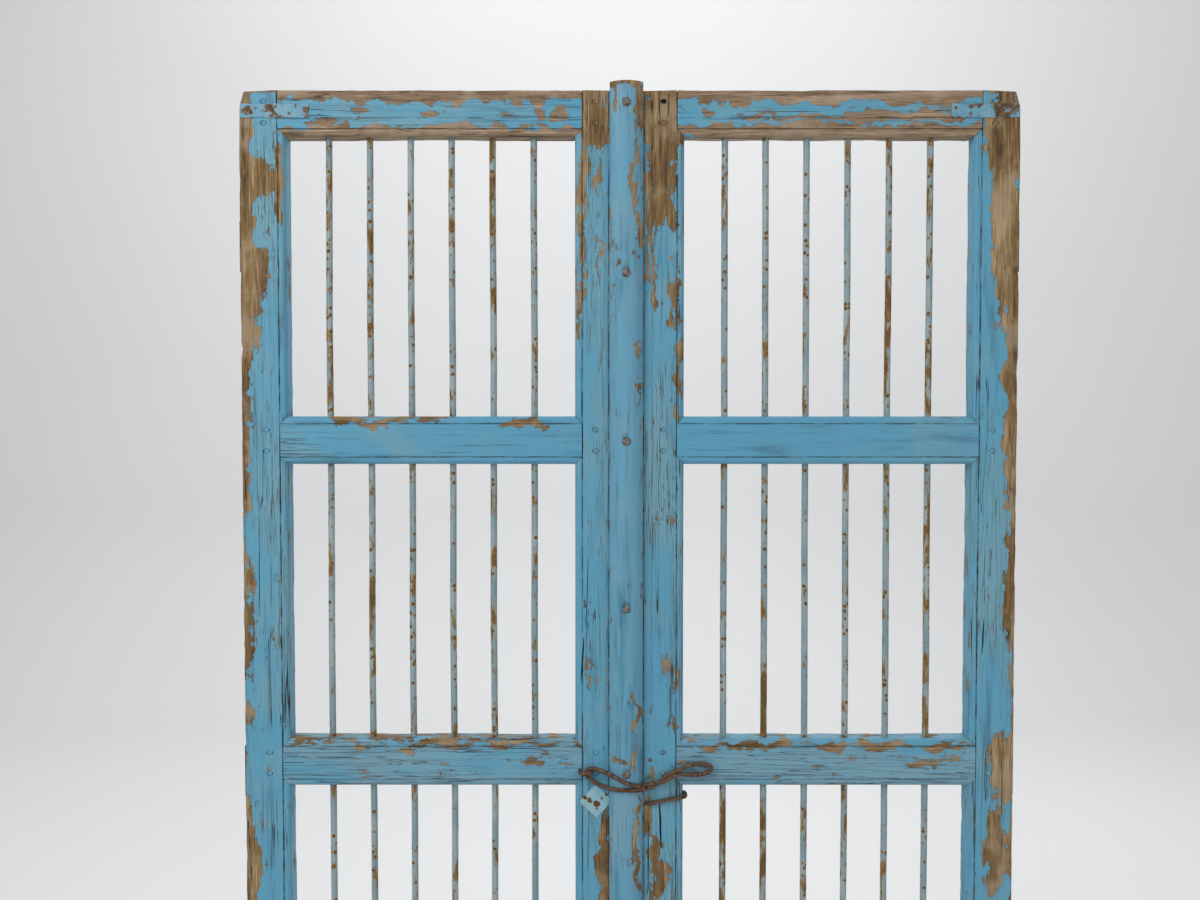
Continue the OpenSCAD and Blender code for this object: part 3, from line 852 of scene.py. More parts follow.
class Effects:
    """Shader groups that the materials share."""

    def __init__(self) -> None:
        """Builds every group once."""
        self.grain_space = self._grain_space()
        self.bare_wood = self._bare_wood()
        self.paint_cover = self._paint_cover()
        self.soft_patch = self._soft_patch()
        self.cracks = self._cracks()
        self.edge_rub = self._edge_rub()
        self.rust = self._rust()
        self.rust_pits = self._rust_pits()
        self.seam_line = self._seam_line()

    @staticmethod
    def _grain_space() -> bpy.types.NodeTree:
        """Turns coordinates so that the grain runs along their third axis.

        Returns:
            The group.
        """
        sketch, given, result = shader_group(
            "grain_space",
            {"Vector": "Vector", "Level": "Float", "Shift": "Vector"},
            {"Vector": "Vector"},
        )
        across, deep, up = sketch.parts(given["Vector"])
        turned = sketch.add("ShaderNodeCombineXYZ")
        sketch.feed(turned.inputs[0], sketch.blend(given["Level"], across, up))
        sketch.feed(turned.inputs[1], deep)
        sketch.feed(turned.inputs[2], sketch.blend(given["Level"], up, across))
        sketch.feed(result["Vector"], sketch.vector("ADD", turned.outputs[0], given["Shift"]))
        return sketch.tree

    @staticmethod
    def _bare_wood() -> bpy.types.NodeTree:
        """Fibres, broad tones and bleached places of bare wood.

        Returns:
            The group.
        """
        sketch, given, result = shader_group(
            "bare_wood",
            {"Vector": "Vector", "Dark": "Color", "Middle": "Color", "Pale": "Color", "Bleached": "Color"},
            {"Color": "Color", "Height": "Float"},
        )
        broad = sketch.noise(given["Vector"], BROAD_GRAIN)
        fibre = sketch.noise(given["Vector"], FIBRES)
        tone = sketch.total(sketch.scaled(broad, share=0.6), sketch.scaled(fibre, share=0.4))
        darker = sketch.mix(sketch.step(tone, low=0.34, high=0.50), given["Dark"], given["Middle"])
        full = sketch.mix(sketch.step(tone, low=0.48, high=0.66), darker, given["Pale"])
        places = sketch.step(sketch.noise(given["Vector"], BLEACHED_PLACES), low=0.46, high=0.64)
        bleached = sketch.mix(sketch.scaled(places, share=0.65), full, given["Bleached"])
        sketch.feed(result["Color"], bleached)
        sketch.feed(result["Height"], tone)
        return sketch.tree

    @staticmethod
    def _paint_cover() -> bpy.types.NodeTree:
        """Where paint still holds, with the dark rim of each flake, which is painted shade of the paint's
        raised edge.

        Returns:
            The group.
        """
        sketch, given, result = shader_group(
            "paint_cover",
            {"Vector": "Vector", "Wear": "Float"},
            {"Cover": "Float", "Rim": "Float", "Edge": "Float"},
        )
        big = sketch.scaled(sketch.noise(given["Vector"], BIG_FLAKES), share=0.56)
        long = sketch.scaled(sketch.noise(given["Vector"], LONG_FLAKES), share=0.30)
        fleck = sketch.scaled(sketch.noise(given["Vector"], FLECKS), share=0.14)
        level = sketch.total(big, long, fleck)
        limit = sketch.total(sketch.scaled(given["Wear"], share=0.42), UNWORN_LIMIT)
        over = sketch.math("SUBTRACT", level, limit)
        sketch.feed(result["Cover"], sketch.step(over, low=-FLAKE_EDGE, high=0.008))
        inner = sketch.step(over, low=-0.002, high=0.010)
        outer = sketch.step(over, low=0.012, high=0.030)
        sketch.feed(result["Rim"], sketch.math("SUBTRACT", inner, outer, clamp=True))
        under = sketch.math("ABSOLUTE", sketch.total(over, FLAKE_EDGE))
        sketch.feed(result["Edge"], sketch.inverse(sketch.step(under, low=0.0, high=0.008)))
        return sketch.tree

    @staticmethod
    def _soft_patch() -> bpy.types.NodeTree:
        """One at the middle of a patch, falling to zero at its edge.

        Returns:
            The group.
        """
        sketch, given, result = shader_group(
            "soft_patch",
            {"Vector": "Vector", "Middle": "Vector", "Spread": "Vector", "Stray": "Float"},
            {"Value": "Float"},
        )
        stray = sketch.stray(given["Vector"], RAGGED_OUTLINE, given["Stray"])
        away = sketch.vector("SUBTRACT", sketch.vector("ADD", given["Vector"], stray), given["Middle"])
        reach = sketch.length(sketch.vector("MULTIPLY", away, given["Spread"]))
        sketch.feed(result["Value"], sketch.inverse(sketch.step(reach, low=0.5, high=1.4)))
        return sketch.tree

    @staticmethod
    def _cracks() -> bpy.types.NodeTree:
        """Thin splits along the grain, in places.

        Returns:
            The group.
        """
        sketch, given, result = shader_group(
            "cracks", {"Vector": "Vector", "Amount": "Float"}, {"Mask": "Float", "Fine": "Float"}
        )
        off = sketch.apart(sketch.noise(given["Vector"], CRACK_LINES), NOISE_MEAN)
        split = sketch.inverse(sketch.step(off, low=0.002, high=0.009))
        place = sketch.step(sketch.noise(given["Vector"], CRACK_PLACES), low=0.44, high=0.58)
        sketch.feed(result["Mask"], sketch.scaled(split, sketch.scaled(place, given["Amount"])))
        thin_off = sketch.apart(sketch.noise(given["Vector"], HAIR_CRACKS), NOISE_MEAN)
        sketch.feed(result["Fine"], sketch.inverse(sketch.step(thin_off, low=0.0, high=0.022)))
        return sketch.tree

    @staticmethod
    def _edge_rub() -> bpy.types.NodeTree:
        """One along the edges of a piece's outline, zero inside it.

        Returns:
            The group.
        """
        sketch, given, result = shader_group(
            "edge_rub",
            {"Vector": "Vector", "Low": "Vector", "High": "Vector", "Reach": "Float"},
            {"Value": "Float"},
        )
        near = sketch.vector(
            "MINIMUM",
            sketch.vector("SUBTRACT", given["Vector"], given["Low"]),
            sketch.vector("SUBTRACT", given["High"], given["Vector"]),
        )
        across, _, up = sketch.parts(near)
        closest = sketch.math("MINIMUM", across, up)
        rubbed = sketch.inverse(sketch.step(closest, low=0.0, high=given["Reach"]))
        sketch.feed(result["Value"], rubbed)
        return sketch.tree

    @staticmethod
    def _rust() -> bpy.types.NodeTree:
        """Rust blooms with a dark scaly heart.

        Returns:
            The group.
        """
        sketch, given, result = shader_group(
            "rust",
            {"Vector": "Vector", "Rusted": "Float", "Rust": "Color", "Scale": "Color"},
            {"Mask": "Float", "Color": "Color", "Height": "Float"},
        )
        bloom = sketch.noise(given["Vector"], RUST_BLOOMS)
        limit = sketch.math("SUBTRACT", RUSTLESS_LIMIT, sketch.scaled(given["Rusted"], share=0.48))
        over = sketch.math("SUBTRACT", bloom, limit)
        mask = sketch.step(over, low=-0.015, high=0.03)
        heart = sketch.step(over, low=0.02, high=0.12)
        grit = sketch.noise(given["Vector"], RUST_GRIT)
        tint = sketch.mix(sketch.scaled(heart, share=0.8), given["Rust"], given["Scale"])
        gritty = sketch.mix(sketch.step(grit, low=0.42, high=0.75), tint, given["Scale"])
        sketch.feed(result["Mask"], mask)
        sketch.feed(result["Color"], gritty)
        sketch.feed(result["Height"], sketch.scaled(sketch.total(heart, grit), mask))
        return sketch.tree

    @staticmethod
    def _rust_pits() -> bpy.types.NodeTree:
        """Small round rust spots, each with a dark heart.

        Returns:
            The group.
        """
        sketch, given, result = shader_group(
            "rust_pits", {"Vector": "Vector", "Share": "Float"}, {"Mask": "Float", "Heart": "Float"}
        )
        ragged = sketch.noise(given["Vector"], PIT_OUTLINE, threefold=True)
        strayed = sketch.vector("ADD", given["Vector"], sketch.vector("MULTIPLY", ragged, PIT_STRAY))
        cells = sketch.add("ShaderNodeTexVoronoi")
        sketch.feed(cells.inputs["Vector"], strayed)
        cells.inputs["Scale"].default_value = 1.0
        chance, girth, _ = sketch.parts(cells.outputs["Color"])
        there = sketch.math("LESS_THAN", chance, given["Share"])
        size = sketch.total(sketch.scaled(girth, share=0.36), LEAST_PIT)
        over = sketch.math("SUBTRACT", size, cells.outputs["Distance"])
        sketch.feed(result["Mask"], sketch.scaled(sketch.step(over, low=-0.05, high=0.07), there))
        sketch.feed(result["Heart"], sketch.scaled(sketch.step(over, low=0.08, high=0.25), there))
        return sketch.tree

    @staticmethod
    def _seam_line() -> bpy.types.NodeTree:
        """A dark line where a coordinate crosses a place, on the front only.

        Returns:
            The group.
        """
        labels = ("Coordinate", "Place", "Depth", "Ragged", "Strength")
        sketch, given, result = shader_group(
            "seam_line", {label: "Float" for label in labels}, {"Value": "Float"}
        )
        off = sketch.apart(given["Coordinate"], given["Place"])
        width = sketch.total(sketch.scaled(given["Ragged"], SEAM_WIDTH), LEAST_SEAM)
        line = sketch.inverse(sketch.step(off, low=SEAM_HEART, high=width))
        front = sketch.inverse(sketch.step(given["Depth"], low=SEAM_DEPTH, high=SEAM_END_DEPTH))
        broken = sketch.scaled(sketch.step(given["Ragged"], low=0.30, high=0.62), given["Strength"])
        sketch.feed(result["Value"], sketch.scaled(sketch.scaled(line, front), broken))
        return sketch.tree


class Paintbox:
    """Makes the object's materials from the shared effects."""

    def __init__(self) -> None:
        """Builds the shared effects."""
        self.effects = Effects()
        self._seed = 0

    @staticmethod
    def _start(name: str) -> tuple[bpy.types.Material, Sketch, bpy.types.Node, bpy.types.NodeSocket]:
        """Starts a material.

        Args:
            name: Name of the material.

        Returns:
            The material, its sketch, its Principled shader and its Object coordinates.
        """
        material = bpy.data.materials.new(name)
        material.use_nodes = True
        sketch = Sketch(material.node_tree)
        shader = material.node_tree.nodes["Principled BSDF"]
        return material, sketch, shader, sketch.add("ShaderNodeTexCoord").outputs["Object"]

    def _shift(self) -> Place:
        """Moves each piece to wood of its own.

        Returns:
            The shift of its grain.
        """
        self._seed += 1
        across, deep, along = GRAIN_SHIFT
        return (across * self._seed, deep * self._seed, along * self._seed)

    def painted_wood(
        self,
        name: str,
        grain: Grain,
        paint: PaintFinish,
        box: tuple[Vector, Vector],
        patches: tuple[BarePatch, ...] = (),
        seams: tuple[Seam, ...] = (),
        wood: WoodFinish = BARE_WOOD,
    ) -> bpy.types.Material:
        """Makes flaking paint over weathered wood.

        Args:
            name: Name of the material.
            grain: Way of the grain.
            paint: Finish of the paint.
            box: Lowest and highest corner of the piece, wider where a side is sheltered.
            patches: Places that have lost their paint.
            seams: Dark lines: dirt in joints and shakes, painted shade in quirks and beside the cover
                strip.
            wood: Finish of the wood.

        Returns:
            The material.
        """
        material, sketch, shader, place = self._start(name)
        effects = self.effects
        shift = self._shift()
        grown = sketch.group(effects.grain_space, Vector=place, Level=grain.value, Shift=shift).outputs[0]
        low_zone = ZONE_LOW - ZONE_GAIN * paint.weather
        high_zone = ZONE_HIGH - ZONE_GAIN * paint.weather
        weather = sketch.step(sketch.noise(grown, WEATHER_ZONES), low_zone, high_zone)
        wear = self._wear(sketch, place, paint, box, patches, weather)
        cover = sketch.group(effects.paint_cover, Vector=grown, Wear=wear)
        bare = sketch.group(
            effects.bare_wood,
            Vector=grown,
            Dark=wood.dark,
            Middle=wood.middle,
            Pale=wood.pale,
            Bleached=wood.bleached,
        )
        cracks = sketch.group(effects.cracks, Vector=grown, Amount=paint.crack)
        blue = self._blue(sketch, grown, paint, weather)
        # Painted shade: the paint darkens towards its deep colour along the rim of each flake, for the
        # shade of the paint's raised edge.
        blue = sketch.mix(sketch.scaled(cover.outputs["Rim"], share=0.45), blue, paint.deep)
        skin = sketch.mix(cover.outputs["Cover"], bare.outputs["Color"], blue)
        thin = sketch.total(sketch.scaled(weather, share=0.70), SOUND_THINNESS)
        skin = sketch.mix(sketch.scaled(cracks.outputs["Fine"], thin), skin, wood.dark)
        # Painted shade: the wood darkens at the edge of each flake, under the paint's raised edge.
        skin = sketch.mix(sketch.scaled(cover.outputs["Edge"], share=0.55), skin, wood.dark)
        # Dirt in joints, shakes and cracks, with painted shade in the quirks and the painted shadow beside
        # the cover strip.
        seam_dirt_and_shade = self._seam_dirt_and_painted_shade(sketch, place, box[0].y, seams, cracks.outputs["Mask"])
        skin = sketch.mix(seam_dirt_and_shade, skin, wood.seam)
        sketch.feed(shader.inputs["Base Color"], skin)
        rough = sketch.blend(cover.outputs["Cover"], BARE_ROUGHNESS, PAINT_ROUGHNESS)
        sketch.feed(shader.inputs["Roughness"], rough)
        fibre = sketch.scaled(bare.outputs["Height"], share=0.5)
        lift = sketch.total(sketch.scaled(cover.outputs["Cover"], share=0.6), fibre)
        furrow = sketch.scaled(cracks.outputs["Fine"], sketch.scaled(thin, share=0.6))
        height = sketch.math("SUBTRACT", lift, sketch.total(seam_dirt_and_shade, furrow))
        sketch.feed(shader.inputs["Normal"], sketch.bump(height, strength=0.8, distance=WOOD_RELIEF))
        LOG.info("material %s with %d bare patches", name, len(patches))
        return material

    def _wear(
        self,
        sketch: Sketch,
        place: bpy.types.NodeSocket,
        paint: PaintFinish,
        box: tuple[Vector, Vector],
        patches: tuple[BarePatch, ...],
        weather: bpy.types.NodeSocket,
    ) -> bpy.types.NodeSocket:
        """Adds up what has taken the paint off.

        Args:
            sketch: Sketch of the material.
            place: Object coordinates.
            paint: Finish of the paint.
            box: Lowest and highest corner of the piece, wider where a side is sheltered.
            patches: Places that have lost their paint.
            weather: Where the paint is thin.

        Returns:
            The wear at each point.
        """
        low, high = (tuple(corner) for corner in box)
        rub = sketch.group(self.effects.edge_rub, Vector=place, Low=low, High=high, Reach=RUB_REACH)
        wear = sketch.total(sketch.scaled(rub.outputs[0], paint.rub), paint.wear)
        wear = sketch.total(wear, sketch.scaled(weather, share=0.05))
        return sketch.total(wear, *(self._patch(sketch, place, patch) for patch in patches))

    @staticmethod
    def _blue(
        sketch: Sketch, grown: bpy.types.NodeSocket, paint: PaintFinish, weather: bpy.types.NodeSocket
    ) -> bpy.types.NodeSocket:
        """Streaks and fades the paint.

        Args:
            sketch: Sketch of the material.
            grown: Coordinates along the grain.
            paint: Finish of the paint.
            weather: Where the paint is thin.

        Returns:
            The colour of the paint.
        """
        streaks = sketch.step(sketch.noise(grown, PAINT_STREAKS), low=0.52, high=0.72)
        clouds = sketch.step(sketch.noise(grown, FADED_CLOUDS), low=0.46, high=0.68)
        faded = sketch.scaled(clouds, share=0.6)
        chalky = sketch.math("MAXIMUM", faded, sketch.scaled(weather, share=0.75))
        return sketch.mix(chalky, sketch.mix(streaks, paint.fresh, paint.deep), paint.chalk)

    def _seam_dirt_and_painted_shade(
        self,
        sketch: Sketch,
        place: bpy.types.NodeSocket,
        front: float,
        seams: tuple[Seam, ...],
        dirt: bpy.types.NodeSocket,
    ) -> bpy.types.NodeSocket:
        """Adds the dirt of joints and shakes, and the painted shade of quirks and of the cover strip, to
        the dirt of the cracks.

        Args:
            sketch: Sketch of the material.
            place: Object coordinates.
            front: Place of the front face, along Y.
            seams: Dark lines: dirt in joints and shakes, painted shade in quirks and beside the cover
                strip.
            dirt: Dirt of the cracks.

        Returns:
            Where dirt and painted shade lie.
        """
        parts = sketch.parts(place)
        depth = sketch.math("SUBTRACT", parts[1], front)
        ragged = sketch.noise(place, DIRT_BREAKS)
        for seam in seams:
            line = sketch.group(
                self.effects.seam_line,
                Coordinate=parts[seam.axis],
                Place=seam.place,
                Depth=depth,
                Ragged=ragged,
                Strength=seam.strength,
            )
            dirt = sketch.math("MAXIMUM", dirt, line.outputs[0])
        return dirt

    def _patch(
        self, sketch: Sketch, place: bpy.types.NodeSocket, patch: BarePatch
    ) -> bpy.types.NodeSocket:
        """Places one soft patch.

        Args:
            sketch: Sketch of the material.
            place: Object coordinates.
            patch: The patch.

        Returns:
            Its strength at each point.
        """
        spot = sketch.group(
            self.effects.soft_patch,
            Vector=place,
            Middle=(patch.x, 0.0, patch.z),
            Spread=(1.0 / patch.half_w, 0.0, 1.0 / patch.half_h),
            Stray=patch.stray,
        )
        return sketch.scaled(spot.outputs[0], patch.strength)

    def iron(
        self, name: str, finish: IronFinish, patches: tuple[BarePatch, ...] = ()
    ) -> bpy.types.Material:
        """Makes iron with paint or a bare skin under rust.

        Args:
            name: Name of the material.
            finish: Finish of the iron.
            patches: Places with more rust.

        Returns:
            The material.
        """
        material, sketch, shader, place = self._start(name)
        effects = self.effects
        close = sketch.vector("MULTIPLY", place, (finish.spot, finish.spot, finish.spot / finish.stretch))
        rusted = sketch.total(finish.rusted, *(self._patch(sketch, place, patch) for patch in patches))
        rust = sketch.group(effects.rust, Vector=close, Rusted=rusted, Rust=finish.rust, Scale=finish.scale)
        tone = sketch.step(sketch.noise(close, SKIN_TONES), low=0.38, high=0.66)
        skin = sketch.mix(tone, finish.skin, finish.skin_pale)
        skin = sketch.mix(rust.outputs["Mask"], skin, rust.outputs["Color"])
        zone = sketch.step(sketch.noise(place, PITTED_ZONES), low=0.36, high=0.66)
        share = sketch.scaled(sketch.total(sketch.scaled(zone, share=0.9), LEAST_PITTED), finish.pits)
        dotted = sketch.vector("MULTIPLY", place, (finish.pit_count,) * 3)
        pits = sketch.group(effects.rust_pits, Vector=dotted, Share=share)
        spot = sketch.mix(pits.outputs["Heart"], finish.rust, finish.scale)
        skin = sketch.mix(pits.outputs["Mask"], skin, spot)
        rough = sketch.math("MAXIMUM", rust.outputs["Mask"], pits.outputs["Mask"])
        sketch.feed(shader.inputs["Base Color"], skin)
        sketch.feed(shader.inputs["Roughness"], sketch.blend(rough, SKIN_ROUGHNESS, RUST_ROUGHNESS))
        sketch.feed(shader.inputs["Metallic"], sketch.blend(rough, finish.metallic, RUST_METALLIC))
        crust = sketch.total(rust.outputs["Height"], sketch.scaled(tone, share=0.3))
        height = sketch.total(crust, sketch.scaled(pits.outputs["Heart"], share=0.6))
        sketch.feed(shader.inputs["Normal"], sketch.bump(height, strength=0.55, distance=IRON_RELIEF))
        LOG.info("material %s", name)
        return material

    def plain(self, name: str, colour: Colour, rough: float) -> bpy.types.Material:
        """Makes a matt stage material with a slight cloudiness.

        Args:
            name: Name of the material.
            colour: Its colour.
            rough: Its roughness.

        Returns:
            The material.
        """
        material, sketch, shader, place = self._start(name)
        dim = tuple(STAGE_DIM_SHARE * part for part in colour)
        cloudy = sketch.mix(sketch.noise(place, STAGE_CLOUDS), colour, dim)
        sketch.feed(shader.inputs["Base Color"], cloudy)
        shader.inputs["Roughness"].default_value = rough
        return material


# Pieces


def link(obj: bpy.types.Object) -> bpy.types.Object:
    """Puts an object in the scene.

    Args:
        obj: Object to link.

    Returns:
        The same object.
    """
    bpy.context.scene.collection.objects.link(obj)
    return obj


def bake(obj: bpy.types.Object) -> bpy.types.Object:
    """Turns an object's modifiers into its mesh.

    Args:
        obj: Object with modifiers.

    Returns:
        The same object, with the finished mesh and no modifier.
    """
    bpy.context.view_layer.update()
    finished = bpy.data.meshes.new_from_object(obj.evaluated_get(bpy.context.evaluated_depsgraph_get()))
    finished.name = obj.name
    obj.modifiers.clear()
    obj.data = finished
    return obj


def welded(node: str) -> bmesh.types.BMesh:
    """Copies a frame node's mesh with its split corners joined.

    Args:
        node: Name of the node.

    Returns:
        The joined mesh.
    """
    mesh = bmesh.new()
    mesh.from_mesh(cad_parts[node].data)
    bmesh.ops.remove_doubles(mesh, verts=mesh.verts, dist=WELD_DISTANCE)
    return mesh


def islands(node: str) -> list[tuple[Vector, Vector]]:
    """Boxes of the separate solids of a node.

    Args:
        node: Name of the node.

    Returns:
        Lowest and highest corner of each solid.
    """
    mesh = welded(node)
    left = set(mesh.verts)
    boxes = []
    while left:
        todo = [left.pop()]
        found = []
        while todo:
            vert = todo.pop()
            found.append(vert.co.copy())
            for edge in vert.link_edges:
                other = edge.other_vert(vert)
                if other in left:
                    left.remove(other)
                    todo.append(other)
        low = Vector(min(point[i] for point in found) for i in range(3))
        high = Vector(max(point[i] for point in found) for i in range(3))
        boxes.append((low, high))
    mesh.free()
    return sorted(boxes, key=lambda pair: (round(pair[0].z, 4), round(pair[0].x, 4)))


def place_piece(obj: bpy.types.Object, body: Body, nodes: list[str]) -> None:
    """Hands a finished piece to the frame.

    Args:
        obj: Finished piece.
        body: Body it moves with.
        nodes: Frame nodes it stands for.
    """
    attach(obj, body.value)
    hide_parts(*nodes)
    LOG.info("%s stands for %s", obj.name, ", ".join(nodes))


def cut_across(
    work: bmesh.types.BMesh, axis: int, low: float, high: float, pitch: float, clear: float = 0.0
) -> None:
    """Cuts a mesh across at even steps.

    Args:
        work: Mesh to cut.
        axis: Axis along which the cuts follow each other.
        low: Where the steps start.
        high: Where they end.
        pitch: About the distance between two cuts.
        clear: Least distance of a cut from the corners that the mesh already has.
    """
    normal = Vector((0.0, 0.0, 0.0))
    normal[axis] = 1.0
    count = max(1, int((high - low) / pitch))
    taken = {round(vert.co[axis], 5) for vert in work.verts}
    for step in range(1, count):
        place = low + step * (high - low) / count
        if clear and min(abs(place - corner) for corner in taken) < clear:
            continue
        everything = work.verts[:] + work.edges[:] + work.faces[:]
        bmesh.ops.bisect_plane(
            work, geom=everything, plane_co=normal * place, plane_no=normal, dist=CUT_DISTANCE
        )
    work.normal_update()


def bite(place: Vector, coarse: float, fine: float) -> float:
    """Depth of wear at a place.

    Args:
        place: The place.
        coarse: Long waves in a metre.
        fine: Short waves in a metre.

    Returns:
        Zero or more, rarely above one.
    """
    long_wave = noise.noise(place * coarse) * LONG_WAVE_SHARE
    short_wave = noise.noise(place * fine) * SHORT_WAVE_SHARE
    return max(0.0, long_wave + short_wave + WORN_EVERYWHERE)


def sharp_edges(work: bmesh.types.BMesh) -> list[bmesh.types.BMEdge]:
    """Finds the edges that stand out.

    Args:
        work: The mesh.

    Returns:
        Its sharp convex edges, in the mesh's own order.
    """
    return [
        edge
        for edge in work.edges
        if len(edge.link_faces) == 2 and edge.calc_face_angle_signed(0.0) >= ARRIS_ANGLE
    ]


def finished_mesh(work: bmesh.types.BMesh, name: str) -> bpy.types.Mesh:
    """Turns a mesh that is being worked on into a finished one.

    Args:
        work: The mesh, which is freed.
        name: Name of the finished mesh.

    Returns:
        The finished mesh.
    """
    mesh = bpy.data.meshes.new(name)
    work.to_mesh(mesh)
    work.free()
    return mesh


@dataclass
class Timber:
    """One stile, rail or strip with rubbed, nicked arrises and open splits.

    Attributes:
        node: Frame node it stands for.
        body: Body it moves with.
        grain: Way of its grain.
        paint: Finish of its paint.
        seams: Dark lines on the front: dirt in joints and shakes, painted shade in quirks and beside the
            cover strip.
        pitch: Distance between the cross cuts that let an arris wander.
        nick: Deepest nick in an arris.
        arris: Width of the rubbed arris.
        corner: How far the top corners of an upright are rubbed off.
        corner_drop_share: How far such a corner drops, as a share of that.
        wood: Finish of its bare wood.
        long_waves: Long waves of the wear in a metre.
        short_waves: Short waves of the wear in a metre.
        split_steps: Lengths that a split is drawn in.
        split_waves: Waves of a split in a metre.
        split_stray_share: Stray of a split, as a share of its width.
        split_overrun: How far the cut of a split starts before the front.
    """

    node: str
    body: Body
    grain: Grain
    paint: PaintFinish
    seams: tuple[Seam, ...] = ()
    pitch: float = 0.012
    nick: float = 0.0024
    arris: float = 0.0015
    corner: float = 0.0
    corner_drop_share: float = 1 / 3
    wood: WoodFinish = BARE_WOOD
    long_waves: float = 22.0
    short_waves: float = 95.0
    split_steps: int = 8
    split_waves: float = 60.0
    split_stray_share: float = 0.25
    split_overrun: float = 0.002

    def build(self, paints: Paintbox) -> bpy.types.Object:
        """Makes the piece.

        Args:
            paints: Maker of its material.

        Returns:
            The finished piece.
        """
        obj = link(bpy.data.objects.new(f"worn_{self.node}", self._worn_mesh()))
        box = self._rubbed_box()
        patches = PATCHES.get(self.node, ())
        paint = paints.painted_wood(
            f"paint_{self.node}", self.grain, self.paint, box, patches, self.seams, self.wood
        )
        obj.data.materials.append(paint)
        for split in SPLITS.get(self.node, ()):
            self._open_split(obj, split, box[0].y)
        place_piece(obj, self.body, [self.node])
        return obj

    def _rubbed_box(self) -> tuple[Vector, Vector]:
        """Box whose sides lose their paint, wider where a moulding lies sheltered in an opening.

        Returns:
            Its lowest and highest corner.
        """
        low, high = (Vector(corner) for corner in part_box(self.node))
        for seam in self.seams:
            if abs(low[seam.axis] + MOULDING_W - seam.place) < WELD_DISTANCE:
                low[seam.axis] -= MOULDING_SHELTER
            if abs(high[seam.axis] - MOULDING_W - seam.place) < WELD_DISTANCE:
                high[seam.axis] += MOULDING_SHELTER
        return low, high

    def _worn_mesh(self) -> bpy.types.Mesh:
        """Cuts the frame's solid across and moves its arrises inwards.

        Returns:
            The worn mesh.
        """
        work = welded(self.node)
        bmesh.ops.dissolve_limit(work, angle_limit=FLAT_ANGLE, verts=work.verts, edges=work.edges)
        axis = 2 if self.grain is Grain.UPRIGHT else 0
        low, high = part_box(self.node)
        cut_across(work, axis, low[axis], high[axis], self.pitch, CUT_CLEAR)
        bmesh.ops.dissolve_degenerate(work, dist=SLIVER, edges=work.edges)
        moves, arrises = {}, []
        for edge in sharp_edges(work):
            run = edge.verts[1].co - edge.verts[0].co
            if abs(run[axis]) < ALONG_SHARE * run.length:
                continue
            inward = -(edge.link_faces[0].normal + edge.link_faces[1].normal).normalized()
            for vert in edge.verts:
                moves[vert] = inward
            if min(face.calc_area() for face in edge.link_faces) > NARROW_FACE * run.length:
                arrises.append(edge)
        self._rub_corners(work, low, high)
        for vert, inward in moves.items():
            vert.co += inward * self.nick * bite(vert.co, self.long_waves, self.short_waves)
        bmesh.ops.bevel(
            work,
            geom=arrises,
            offset=self.arris,
            segments=2,
            profile=0.5,
            affect="EDGES",
            clamp_overlap=False,
        )
        return finished_mesh(work, f"worn_{self.node}")

    def _rub_corners(self, work: bmesh.types.BMesh, low: Vector, high: Vector) -> None:
        """Rubs the top corners off.

        Args:
            work: Mesh of the piece.
            low: Lowest corner of its box.
            high: Highest corner of its box.
        """
        tops = [vert for vert in work.verts if self.corner and high.z - vert.co.z < WELD_DISTANCE]
        for vert in tops:
            for side, way in ((low.x, 1.0), (high.x, -1.0)):
                if abs(vert.co.x - side) < WELD_DISTANCE:
                    drop = self.corner * self.corner_drop_share
                    vert.co += Vector((way * self.corner, 0.0, -drop))

    def _open_split(self, obj: bpy.types.Object, split: Split, front: float) -> None:
        """Cuts a narrow wedge out of the front of the piece.

        Args:
            obj: The piece.
            split: The split.
            front: Place of the front face, along Y.
        """
        work = bmesh.new()
        rings = []
        for step in range(1, self.split_steps):
            share = step / self.split_steps
            swell = math.sin(math.pi * share)
            z = split.z + split.length * (share - 0.5)
            stray = noise.noise(Vector((split.x, z * self.split_waves, 0.0)))
            x = split.x + split.lean * (share - 0.5)
            x += self.split_stray_share * split.width * stray
            half = split.width / 2 * swell
            mouth = front - self.split_overrun
            corners = ((x - half, mouth), (x + half, mouth), (x, front + split.depth * swell))
            rings.append([work.verts.new((across, deep, z)) for across, deep in corners])
        for lower, upper in zip(rings, rings[1:]):
            for k in range(3):
                after = (k + 1) % 3
                work.faces.new((lower[k], lower[after], upper[after], upper[k]))
        work.faces.new(rings[0])
        work.faces.new(rings[-1])
        bmesh.ops.recalc_face_normals(work, faces=work.faces)
        cutter = link(bpy.data.objects.new("split_cutter", finished_mesh(work, "split_cutter")))
        cut = obj.modifiers.new("split", "BOOLEAN")
        cut.operation = "DIFFERENCE"
        cut.solver = "EXACT"
        cut.object = cutter
        bake(obj)
        bpy.data.objects.remove(cutter)


